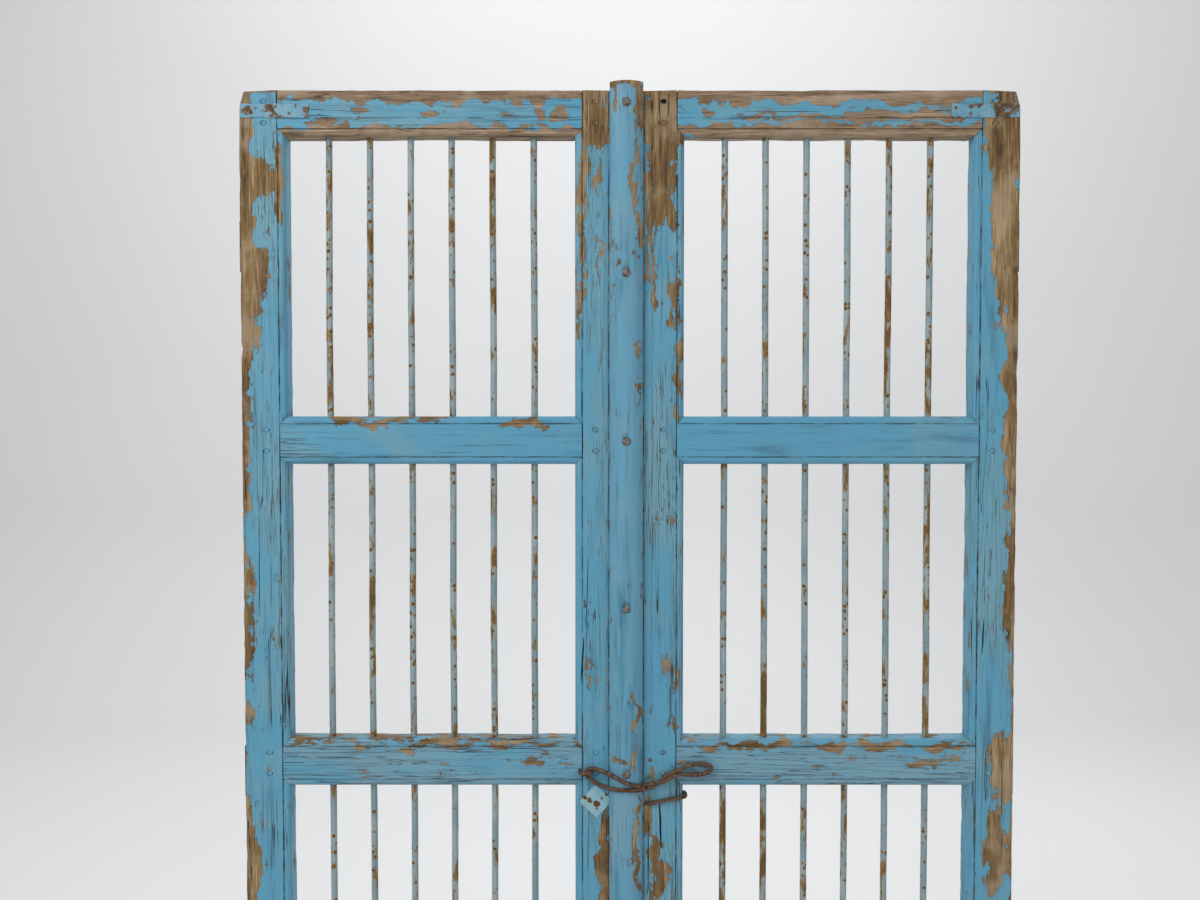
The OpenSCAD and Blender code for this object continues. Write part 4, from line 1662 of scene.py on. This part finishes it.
@dataclass
class WornSheet:
    """A piece of sheet iron with an eaten outline.

    Attributes:
        node: Frame node it stands for.
        body: Body it moves with.
        finish: Finish of the iron.
        pitch: Distance between the cuts that let the outline wander.
        nick: Deepest nick in the outline.
        worn_back: How far the end at the edge of the leaf has worn back.
        long_waves: Long waves of the wear in a metre.
        short_waves: Short waves of the wear in a metre.
    """

    node: str
    body: Body
    finish: IronFinish = SHEET_FINISH
    pitch: float = 0.003
    nick: float = 0.0016
    worn_back: float = 0.0
    long_waves: float = 60.0
    short_waves: float = 190.0

    def build(self, paints: Paintbox) -> bpy.types.Object:
        """Makes the sheet.

        Args:
            paints: Maker of its material.

        Returns:
            The finished piece.
        """
        work = welded(self.node)
        bmesh.ops.dissolve_limit(work, angle_limit=FLAT_ANGLE, verts=work.verts, edges=work.edges)
        low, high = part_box(self.node)
        for axis in (0, 2):
            cut_across(work, axis, low[axis], high[axis], self.pitch)
        moves = {}
        for edge in sharp_edges(work):
            inward = -(edge.link_faces[0].normal + edge.link_faces[1].normal)
            inward.y = 0.0
            for vert in edge.verts:
                moves[vert] = inward.normalized()
        for vert, inward in moves.items():
            flat = Vector((vert.co.x, 0.0, vert.co.z))
            vert.co += inward * self.nick * bite(flat, self.long_waves, self.short_waves)
        reach = max(abs(low.x), abs(high.x)) - self.worn_back
        for vert in work.verts:
            vert.co.x = max(-reach, min(reach, vert.co.x))
        name = f"worn_{self.node}"
        obj = link(bpy.data.objects.new(name, finished_mesh(work, name)))
        places = RUSTED_PLACES.get(self.node, ())
        obj.data.materials.append(paints.iron(f"sheet_{self.node}", self.finish, places))
        place_piece(obj, self.body, [self.node])
        return obj


class GeometrySketch(Sketch):
    """Shorthand for wiring a geometry node tree with named inputs."""

    def __init__(self, name: str, inputs: dict[str, str]) -> None:
        """Starts a tree.

        Args:
            name: Name of the tree.
            inputs: Kind of each input by name.
        """
        tree = bpy.data.node_groups.new(name, "GeometryNodeTree")
        tree.interface.new_socket(name="Geometry", in_out="INPUT", socket_type="NodeSocketGeometry")
        tree.interface.new_socket(name="Geometry", in_out="OUTPUT", socket_type="NodeSocketGeometry")
        for label, kind in inputs.items():
            tree.interface.new_socket(name=label, in_out="INPUT", socket_type=f"NodeSocket{kind}")
        super().__init__(tree)
        self.given = self.add("NodeGroupInput").outputs
        self.result = self.add("NodeGroupOutput").inputs

    def finish(self, geometry: bpy.types.NodeSocket) -> None:
        """Smooths the realized copies, sets their material and puts them out.

        Args:
            geometry: Geometry to put out.
        """
        smooth = self.add("GeometryNodeSetShadeSmooth")
        self.feed(smooth.inputs["Geometry"], geometry)
        painted = self.add("GeometryNodeSetMaterial")
        self.feed(painted.inputs["Geometry"], smooth.outputs[0])
        self.feed(painted.inputs["Material"], self.given["Material"])
        self.feed(self.result["Geometry"], painted.outputs[0])

    def unsteady(
        self, geometry: bpy.types.NodeSocket, mottle: Mottle, reach: Any
    ) -> bpy.types.NodeSocket:
        """Moves points by a fixed noise of their place.

        Args:
            geometry: Realized geometry.
            mottle: Features of the noise.
            reach: Largest move.

        Returns:
            The moved geometry.
        """
        place = self.add("GeometryNodeInputPosition").outputs[0]
        moved = self.add("GeometryNodeSetPosition")
        self.feed(moved.inputs["Geometry"], geometry)
        self.feed(moved.inputs["Offset"], self.stray(place, mottle, reach))
        return moved.outputs[0]

    def copies(
        self, shape: bpy.types.NodeSocket, least: Place | None = None, most: Place | None = None
    ) -> bpy.types.NodeSocket:
        """Puts a copy of a shape on every given point and realizes the copies.

        Args:
            shape: The shape.
            least: Smallest random turn about each axis, or None to leave the copies unturned.
            most: Largest random turn about each axis.

        Returns:
            The realized copies.
        """
        placed = self.add("GeometryNodeInstanceOnPoints")
        self.feed(placed.inputs["Points"], self.given["Geometry"])
        self.feed(placed.inputs["Instance"], shape)
        if least is not None:
            turn = self.add("FunctionNodeRandomValue", data_type="FLOAT_VECTOR")
            self.feed(turn.inputs[0], least)
            self.feed(turn.inputs[1], most)
            self.feed(turn.inputs["Seed"], self.given["Seed"])
            self.feed(placed.inputs["Rotation"], turn.outputs[0])
        real = self.add("GeometryNodeRealizeInstances")
        self.feed(real.inputs[0], placed.outputs[0])
        return real.outputs[0]

    def laid_back(self, shape: bpy.types.NodeSocket) -> bpy.types.NodeSocket:
        """Turns an upright shape so that it points along Y.

        Args:
            shape: The shape.

        Returns:
            The turned shape.
        """
        turned = self.add("GeometryNodeTransform")
        self.feed(turned.inputs["Geometry"], shape)
        self.feed(turned.inputs["Rotation"], (math.radians(90), 0.0, 0.0))
        return turned.outputs[0]


def forged_bars_tree() -> bpy.types.NodeTree:
    """Bars that stand on points, each a little bent and uneven.

    Returns:
        The tree.
    """
    sketch = GeometrySketch(
        "forged_bars",
        {"Length": "Float", "Radius": "Float", "Sway": "Float", "Dent": "Float", "Material": "Material"},
    )
    tip = sketch.add("ShaderNodeCombineXYZ")
    sketch.feed(tip.inputs[2], sketch.given["Length"])
    line = sketch.add("GeometryNodeCurvePrimitiveLine")
    sketch.feed(line.inputs["End"], tip.outputs[0])
    fine = sketch.add("GeometryNodeResampleCurve")
    sketch.feed(fine.inputs["Curve"], line.outputs[0])
    sketch.feed(fine.inputs["Count"], BAR_STEPS)
    ring = sketch.add("GeometryNodeCurvePrimitiveCircle")
    sketch.feed(ring.inputs["Resolution"], BAR_SIDES)
    sketch.feed(ring.inputs["Radius"], sketch.given["Radius"])
    swept = sketch.add("GeometryNodeCurveToMesh")
    sketch.feed(swept.inputs["Curve"], fine.outputs[0])
    sketch.feed(swept.inputs["Profile Curve"], ring.outputs[0])
    sketch.feed(swept.inputs["Fill Caps"], True)
    bent = sketch.unsteady(sketch.copies(swept.outputs[0]), BAR_BENDS, sketch.given["Sway"])
    sketch.finish(sketch.unsteady(bent, BAR_DENTS, sketch.given["Dent"]))
    return sketch.tree


def driven_heads_tree() -> bpy.types.NodeTree:
    """Hammered round heads on points, facing -Y.

    Returns:
        The tree.
    """
    sketch = GeometrySketch(
        "driven_heads",
        {"Radius": "Float", "Height": "Float", "Dent": "Float", "Seed": "Int", "Material": "Material"},
    )
    ball = sketch.add("GeometryNodeMeshUVSphere")
    sketch.feed(ball.inputs["Segments"], HEAD_SEGMENTS)
    sketch.feed(ball.inputs["Rings"], HEAD_RINGS)
    sketch.feed(ball.inputs["Radius"], 1.0)
    size = sketch.add("ShaderNodeCombineXYZ")
    sketch.feed(size.inputs[0], sketch.given["Radius"])
    sketch.feed(size.inputs[1], sketch.given["Radius"])
    sketch.feed(size.inputs[2], sketch.given["Height"])
    shaped = sketch.add("GeometryNodeTransform")
    sketch.feed(shaped.inputs["Geometry"], ball.outputs[0])
    sketch.feed(shaped.inputs["Scale"], size.outputs[0])
    heads = sketch.copies(
        sketch.laid_back(shaped.outputs[0]),
        (-HEAD_TILT, -ANY_TURN, -HEAD_TILT),
        (HEAD_TILT, ANY_TURN, HEAD_TILT),
    )
    sketch.finish(sketch.unsteady(heads, HEAD_DENTS, sketch.given["Dent"]))
    return sketch.tree


def pegs_tree() -> bpy.types.NodeTree:
    """Round pegs through the leaf on points, their ends uneven.

    Returns:
        The tree.
    """
    sketch = GeometrySketch(
        "tenon_pegs",
        {"Radius": "Float", "Length": "Float", "Dent": "Float", "Seed": "Int", "Material": "Material"},
    )
    rod = sketch.add("GeometryNodeMeshCylinder")
    sketch.feed(rod.inputs["Vertices"], PEG_SIDES)
    sketch.feed(rod.inputs["Side Segments"], PEG_STEPS)
    sketch.feed(rod.inputs["Fill Segments"], PEG_RINGS)
    sketch.feed(rod.inputs["Radius"], sketch.given["Radius"])
    sketch.feed(rod.inputs["Depth"], sketch.given["Length"])
    laid = sketch.laid_back(rod.outputs[0])
    pegs = sketch.copies(laid, (0.0, -ANY_TURN, 0.0), (0.0, ANY_TURN, 0.0))
    sketch.finish(sketch.unsteady(pegs, PEG_DENTS, sketch.given["Dent"]))
    return sketch.tree


@dataclass
class Repeated:
    """Copies of one small piece on a row of points.

    Attributes:
        name: Name of the piece.
        body: Body it moves with.
        slot: Material slot of the record; not used.
        nodes: Frame nodes it stands for.
        tree: Geometry nodes that make it.
        points: Where the copies stand.
        values: Inputs of the tree by name.
        material: Its material.
    """

    name: str
    body: Body
    slot: Slot
    nodes: list[str]
    tree: bpy.types.NodeTree
    points: list[Vector]
    values: dict[str, Any]
    material: bpy.types.Material

    def build(self) -> bpy.types.Object:
        """Makes the copies.

        Returns:
            The finished piece.
        """
        mesh = bpy.data.meshes.new(self.name)
        mesh.from_pydata([tuple(point) for point in self.points], [], [])
        obj = link(bpy.data.objects.new(self.name, mesh))
        modifier = obj.modifiers.new(self.tree.name, "NODES")
        modifier.node_group = self.tree
        inputs = [item for item in self.tree.interface.items_tree if item.in_out == "INPUT"]
        sockets = {item.name: item.identifier for item in inputs}
        for label, value in {**self.values, "Material": self.material}.items():
            modifier[sockets[label]] = value
        bake(obj)
        place_piece(obj, self.body, self.nodes)
        return obj


@dataclass
class RustedWire:
    """A bent wire of the frame, rounded and pitted.

    Attributes:
        node: Frame node it stands for.
        body: Body it moves with.
        levels: Rounding steps.
        swell: Thickness of its rust crust.
        pit: Depth of the pits in the crust.
        pit_waves: Pits in a metre.
        pit_gain: How much of the crust is pitted, added to the noise.
        flat: Angle up to which two triangles are joined to one face.
    """

    node: str
    body: Body
    levels: int = 1
    swell: float = 0.0005
    pit: float = 0.0007
    pit_waves: float = 210.0
    pit_gain: float = 0.15
    flat: float = math.radians(40)

    def build(self, material: bpy.types.Material) -> bpy.types.Object:
        """Makes the wire.

        Args:
            material: Its material.

        Returns:
            The finished piece.
        """
        work = welded(self.node)
        bmesh.ops.join_triangles(
            work, faces=work.faces, angle_face_threshold=self.flat, angle_shape_threshold=self.flat
        )
        name = f"rusted_{self.node}"
        obj = link(bpy.data.objects.new(name, finished_mesh(work, name)))
        if self.levels:
            rounded = obj.modifiers.new("rounded", "SUBSURF")
            rounded.levels = self.levels
            rounded.render_levels = self.levels
            bake(obj)
        moves = []
        for vert in obj.data.vertices:
            pitted = max(0.0, noise.noise(vert.co * self.pit_waves) + self.pit_gain)
            moves.append(vert.normal * (self.swell - self.pit * pitted))
        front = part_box(self.node)[0].y
        for vert, move in zip(obj.data.vertices, moves):
            vert.co += move
            vert.co.y = max(vert.co.y, front)
        obj.data.shade_smooth()
        obj.data.materials.clear()
        obj.data.materials.append(material)
        place_piece(obj, self.body, [self.node])
        return obj


@dataclass
class Leaf:
    """One leaf: timbers, bars, pegs, strap and tacks.

    Attributes:
        side: left or right.
        body: Body it moves with.
        rails: Paint of its rails.
        hinge_stile: Paint of its hinge stile.
        meeting_stile: Paint of its meeting stile.
        middle_rails: Number of its middle rails.
        bars: Number of its bars.
        hinge_corner: How far the top corners of the hinge stile are rubbed off.
        meeting_corner: The same for the meeting stile.
        strap_worn_back: How far the strap has worn back from the edge of the leaf.
        bar_dent_share: Depth of the dents in a bar, as a share of its radius.
        peg_fit_share: Radius of a peg, as a share of the solid's.
        peg_short: How much shorter a peg is than the solid.
        peg_dent: Unevenness of a peg.
        peg_seed: Seed of the pegs' random turns.
        tack_seed: Seed of the tacks' random turns.
    """

    side: str
    body: Body
    rails: PaintFinish
    hinge_stile: PaintFinish
    meeting_stile: PaintFinish
    middle_rails: int = 3
    bars: int = 6
    hinge_corner: float = 0.007
    meeting_corner: float = 0.004
    strap_worn_back: float = 0.0025
    bar_dent_share: float = 0.16
    peg_fit_share: float = 0.97
    peg_short: float = 0.0012
    peg_dent: float = 0.0006
    peg_seed: int = 5
    tack_seed: int = 3

    def build(self, paints: Paintbox, kit: "Ironwork") -> None:
        """Makes every piece of the leaf.

        Args:
            paints: Maker of the paint.
            kit: Iron materials and trees.
        """
        hinge, meeting = f"{self.side}_hinge_stile", f"{self.side}_meeting_stile"
        shoulders = [self._shoulder(hinge), self._shoulder(meeting)]
        # On a stile the shoulder line runs its whole length along the moulding's quirk and is painted
        # shade; the line beside the cover strip is its painted shadow.
        hinge_seams = (Seam(0, shoulders[0], SHOULDER_DIRT_AND_QUIRK_SHADE),)
        meeting_seams = (Seam(0, shoulders[1], SHOULDER_DIRT_AND_QUIRK_SHADE), Seam(0, self._strip_side(), STRIP_SHADOW))
        for node, paint, seams, corner in (
            (hinge, self.hinge_stile, hinge_seams, self.hinge_corner),
            (meeting, self.meeting_stile, meeting_seams, self.meeting_corner),
        ):
            Timber(node, self.body, Grain.UPRIGHT, paint, seams, corner=corner).build(paints)
        middle = [f"middle_rail_{i}" for i in range(1, self.middle_rails + 1)]
        for rail in ("top_rail", *middle, "bottom_rail"):
            paint, wood = SPECIAL_RAILS.get(rail, (self.rails, BARE_WOOD))
            seams = self._rail_seams(rail, shoulders)
            node = f"{self.side}_{rail}"
            Timber(node, self.body, Grain.LEVEL, paint, seams, wood=wood).build(paints)
        self._bars(kit)
        self._pegs(paints, kit)
        kit.heads(f"{self.side}_strap_tacks", self.body, self.tack_seed)
        strap = f"{self.side}_corner_strap"
        WornSheet(strap, self.body, STRAP_FINISH, worn_back=self.strap_worn_back).build(paints)

    def _rail_seams(self, rail: str, shoulders: list[float]) -> tuple[Seam, ...]:
        """Dark lines of a rail: dirt in its shoulders and in the shake of the top rail, painted shade in
        its quirks.

        Args:
            rail: Name of the rail without its side.
            shoulders: Places of the shoulders along X.

        Returns:
            The seams.
        """
        low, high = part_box(f"{self.side}_{rail}")
        seams = [Seam(0, shoulder, SHOULDER_DIRT_AND_QUIRK_SHADE) for shoulder in shoulders]
        # Painted shade in the quirks of the mouldings; on the top rail the upper line is dirt in its shake.
        if rail != "bottom_rail":
            seams.append(Seam(2, low.z + MOULDING_W, QUIRK_SHADE_AND_SHAKE_DIRT))
        drop = TOP_SHAKE_DROP if rail == "top_rail" else MOULDING_W
        seams.append(Seam(2, high.z - drop, QUIRK_SHADE_AND_SHAKE_DIRT))
        return tuple(seams)

    def _shoulder(self, stile: str) -> float:
        """Place of the line where the rails meet the face of a stile.

        Args:
            stile: Frame node of the stile.

        Returns:
            The place along X.
        """
        low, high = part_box(stile)
        rail_low, rail_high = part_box(f"{self.side}_top_rail")
        opening = (rail_low.x + rail_high.x) / 2
        return high.x - MOULDING_W if high.x < opening else low.x + MOULDING_W

    def _strip_side(self) -> float:
        """Place of the painted shadow beside the cover strip, on this leaf's side of it.

        Returns:
            The place along X.
        """
        low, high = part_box("cover_strip")
        return low.x - STRIP_SHADOW_OFF if self.body is Body.LEFT else high.x + STRIP_SHADOW_OFF

    def _bars(self, kit: "Ironwork") -> bpy.types.Object:
        """Makes the bars.

        Args:
            kit: Iron materials and trees.

        Returns:
            All bars of the leaf as one piece.
        """
        nodes = [f"{self.side}_bar_{i}" for i in range(1, self.bars + 1)]
        boxes = [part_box(node) for node in nodes]
        low, high = boxes[0]
        radius = (high.x - low.x) / 2
        feet = [Vector(((a.x + b.x) / 2, (a.y + b.y) / 2, a.z)) for a, b in boxes]
        values = {
            "Length": high.z - low.z,
            "Radius": radius,
            "Sway": radius,
            "Dent": radius * self.bar_dent_share,
        }
        name = f"{self.side}_bars"
        bars = Repeated(name, self.body, Slot.BAR_IRON, nodes, kit.bars_tree, feet, values, kit.bar)
        return bars.build()

    def _pegs(self, paints: Paintbox, kit: "Ironwork") -> bpy.types.Object:
        """Makes the pegs.

        Args:
            paints: Maker of the paint.
            kit: Iron materials and trees.

        Returns:
            All pegs of the leaf as one piece.
        """
        node = f"{self.side}_tenon_pegs"
        solids = islands(node)
        low, high = solids[0]
        middles = [(a + b) / 2 for a, b in solids]
        values = {
            "Radius": (high.x - low.x) / 2 * self.peg_fit_share,
            "Length": (high.y - low.y) - self.peg_short,
            "Dent": self.peg_dent,
            "Seed": self.peg_seed,
        }
        stiles = (f"{self.side}_hinge_stile", f"{self.side}_meeting_stile")
        patches = tuple(patch for stile in stiles for patch in PATCHES[stile])
        paint = paints.painted_wood(f"paint_{node}", Grain.UPRIGHT, PEG_PAINT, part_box(node), patches)
        name = f"worn_{node}"
        pegs = Repeated(name, self.body, Slot.PEG_WOOD, [node], kit.pegs_tree, middles, values, paint)
        return pegs.build()


class Ironwork:
    """Iron materials and the trees of the repeated small pieces."""

    def __init__(self, paints: Paintbox) -> None:
        """Makes the materials and trees.

        Args:
            paints: Maker of the materials.
        """
        self.bar = paints.iron("bar_iron_rusting", BAR_FINISH, RUSTED_PLACES["bars"])
        self.nail = paints.iron("nail_iron_dull", NAIL_FINISH)
        self.wire = paints.iron("wire_rusted", WIRE_FINISH)
        self.hinge = paints.iron("hinge_iron_dark", HINGE_FINISH)
        self.bars_tree = forged_bars_tree()
        self.heads_tree = driven_heads_tree()
        self.pegs_tree = pegs_tree()

    def heads(self, node: str, body: Body, seed: int) -> bpy.types.Object:
        """Makes the heads of a row of nails.

        Args:
            node: Frame node with the nails.
            body: Body they move with.
            seed: Seed of their random turns.

        Returns:
            All heads as one piece.
        """
        solids = islands(node)
        low, high = solids[0]
        radius = (high.x - low.x) / 2
        height = radius * HEAD_HEIGHT_SHARE
        sunk = height * HEAD_SINK_SHARE
        points = [Vector(((a.x + b.x) / 2, a.y + sunk, (a.z + b.z) / 2)) for a, b in solids]
        values = {"Radius": radius, "Height": height, "Dent": radius * HEAD_DENT_SHARE, "Seed": seed}
        name = f"{node}_heads"
        heads = Repeated(name, body, Slot.NAIL_IRON, [node], self.heads_tree, points, values, self.nail)
        return heads.build()

    def dress(self, nodes: list[str], material: bpy.types.Material) -> None:
        """Gives frame nodes that stay as they are a better material.

        Args:
            nodes: Frame nodes.
            material: Their material.
        """
        for node in nodes:
            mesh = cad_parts[node].data
            mesh.materials.clear()
            mesh.materials.append(material)
            LOG.info("%s keeps its shape", node)


@dataclass
class Doors:
    """The whole pair of doors.

    Attributes:
        leaves: The two leaves.
        strip_nick: Deepest nick in the arrises of the cover strip.
        plate_nick: Deepest nick in the outline of the latch plate.
        strip_seed: Seed of the strip nails' random turns.
        plate_seed: Seed of the plate tacks' random turns.
        keeper_seed: Seed of the keeper nail's random turn.
    """

    leaves: tuple[Leaf, Leaf]
    strip_nick: float = 0.0010
    plate_nick: float = 0.0010
    strip_seed: int = 11
    plate_seed: int = 7
    keeper_seed: int = 9

    def build(self, paints: Paintbox) -> None:
        """Makes every visible piece.

        Args:
            paints: Maker of the materials.
        """
        kit = Ironwork(paints)
        for leaf in self.leaves:
            leaf.build(paints, kit)
        strip = Timber("cover_strip", Body.LEFT, Grain.UPRIGHT, STRIP_PAINT, nick=self.strip_nick)
        strip.build(paints)
        kit.heads("strip_nails", Body.LEFT, self.strip_seed)
        kit.heads("plate_tacks", Body.LEFT, self.plate_seed)
        kit.heads("stile_nails", Body.RIGHT, self.keeper_seed)
        RustedWire("latch_loop", Body.LATCH).build(kit.wire)
        RustedWire("latch_staple", Body.LEFT, levels=0).build(kit.wire)
        RustedWire("binding_wire", Body.RIGHT, levels=0).build(kit.wire)
        WornSheet("latch_plate", Body.LEFT, nick=self.plate_nick).build(paints)
        hinges = [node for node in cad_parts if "hinge_" in node and "stile" not in node]
        kit.dress(hinges, kit.hinge)


# Stage


@dataclass(frozen=True)
class Viewpoint:
    """Camera of the picture.

    Attributes:
        eye: Place of the camera.
        yaw: Turn to the right, in radians.
        pitch: Tilt upwards, in radians.
        focal_px: Focal length in pixels of the picture.
        width_px: Width of the picture.
        sensor_mm: Width of the camera's sensor in millimetres.
        nearest: Distance from which things are seen.
    """

    eye: Place = (-0.0435, -1.8859, 1.5911)
    yaw: float = -0.0005
    pitch: float = -0.0364
    focal_px: float = 1245.5
    width_px: float = 1200.0
    sensor_mm: float = 36.0
    nearest: float = 0.05

    def place(self) -> bpy.types.Object:
        """Puts the camera in the scene.

        Returns:
            The camera.
        """
        data = bpy.data.cameras.new("picture_camera")
        data.sensor_width = self.sensor_mm
        data.sensor_fit = "HORIZONTAL"
        data.lens = self.focal_px / self.width_px * self.sensor_mm
        data.clip_start = self.nearest
        data.dof.use_dof = False
        ahead = Vector(
            (
                math.cos(self.pitch) * math.sin(self.yaw),
                math.cos(self.pitch) * math.cos(self.yaw),
                math.sin(self.pitch),
            )
        )
        right = Vector((math.cos(self.yaw), -math.sin(self.yaw), 0.0))
        matrix = Matrix((right, right.cross(ahead), -ahead)).transposed().to_4x4()
        matrix.translation = Vector(self.eye)
        camera = link(bpy.data.objects.new("picture_camera", data))
        camera.matrix_world = matrix
        bpy.context.scene.camera = camera
        return camera


@dataclass(frozen=True)
class SoftLight:
    """A square, soft light.

    Attributes:
        name: Name of the light.
        spot: Its place.
        target: Where it points.
        size: Side of its square.
        power: Its power in watts.
    """

    name: str
    spot: Place
    target: Place
    size: float
    power: float

    def place(self) -> None:
        """Puts the light in the scene."""
        data = bpy.data.lights.new(self.name, "AREA")
        data.size = self.size
        data.energy = self.power
        light = link(bpy.data.objects.new(self.name, data))
        light.location = self.spot
        aim = Vector(self.target) - Vector(self.spot)
        light.rotation_euler = aim.to_track_quat("-Z", "Y").to_euler()


LIGHTS = (
    SoftLight("key", (-1.9, -2.1, 3.1), (0.0, 0.0, 1.4), 1.8, 58.0),
    SoftLight("fill", (2.3, -2.6, 1.7), (0.0, 0.0, 1.4), 2.4, 21.0),
    SoftLight("wash", (0.0, 2.2, 5.2), (0.0, 5.2, 1.5), 4.0, 110.0),
    SoftLight("rear", (1.6, 3.0, 3.6), (0.0, 0.0, 1.1), 2.0, 24.0),
)


@dataclass(frozen=True)
class Studio:
    """Floor, backdrop and room.

    Attributes:
        behind: Distance of the backdrop behind the doors.
        before: Length of the floor before the doors.
        width: Width of the floor.
        height: Height of the backdrop.
        cove: Radius of the curve between them.
        cove_steps: Lengths that the curve is drawn in.
        grey: Colour of floor and backdrop.
        matt: Roughness of floor and backdrop.
        room: Colour of the light of the room.
        room_strength: Strength of that light.
    """

    behind: float = 5.2
    before: float = 14.0
    width: float = 30.0
    height: float = 6.5
    cove: float = 1.0
    cove_steps: int = 12
    grey: Colour = (0.80, 0.80, 0.80)
    matt: float = 0.9
    room: Colour = (0.95, 0.97, 1.0)
    room_strength: float = 0.50

    def build(self, paints: Paintbox) -> None:
        """Makes the stage.

        Args:
            paints: Maker of its material.
        """
        sweep = self._sweep()
        sweep.data.materials.append(paints.plain("pale_backdrop", self.grey, self.matt))
        for light in LIGHTS:
            light.place()
        world = bpy.data.worlds.new("soft_room")
        world.use_nodes = True
        backing = world.node_tree.nodes["Background"]
        backing.inputs["Color"].default_value = (*self.room, 1.0)
        backing.inputs["Strength"].default_value = self.room_strength
        bpy.context.scene.world = world
        bpy.context.scene.view_settings.view_transform = "Standard"

    def _sweep(self) -> bpy.types.Object:
        """Makes floor, cove and backdrop as one sheet.

        Returns:
            The sheet.
        """
        profile = [Vector((0.0, -self.before, 0.0)), Vector((0.0, self.behind - self.cove, 0.0))]
        for step in range(1, self.cove_steps + 1):
            turn = math.radians(90) * step / self.cove_steps
            along = self.behind - self.cove + self.cove * math.sin(turn)
            profile.append(Vector((0.0, along, self.cove * (1 - math.cos(turn)))))
        profile.append(Vector((0.0, self.behind, self.height)))
        left = [(-self.width / 2, point.y, point.z) for point in profile]
        right = [(self.width / 2, point.y, point.z) for point in profile]
        count = len(profile)
        faces = [(i, count + i, count + i + 1, i + 1) for i in range(count - 1)]
        mesh = bpy.data.meshes.new("studio_sweep")
        mesh.from_pydata(left + right, [], faces)
        mesh.shade_smooth()
        return link(bpy.data.objects.new("studio_sweep", mesh))


def main() -> None:
    """Builds the doors, the stage and the camera."""
    logging.basicConfig(level=logging.INFO, format="%(message)s")
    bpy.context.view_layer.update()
    left = Leaf("left", Body.LEFT, RAIL_PAINT, WORN_PAINT, SOUND_PAINT)
    right = Leaf("right", Body.RIGHT, RAIL_PAINT, WORN_PAINT, WORN_PAINT)
    paints = Paintbox()
    Doors((left, right)).build(paints)
    Studio().build(paints)
    Viewpoint().place()


if __name__ == "__main__":
    main()
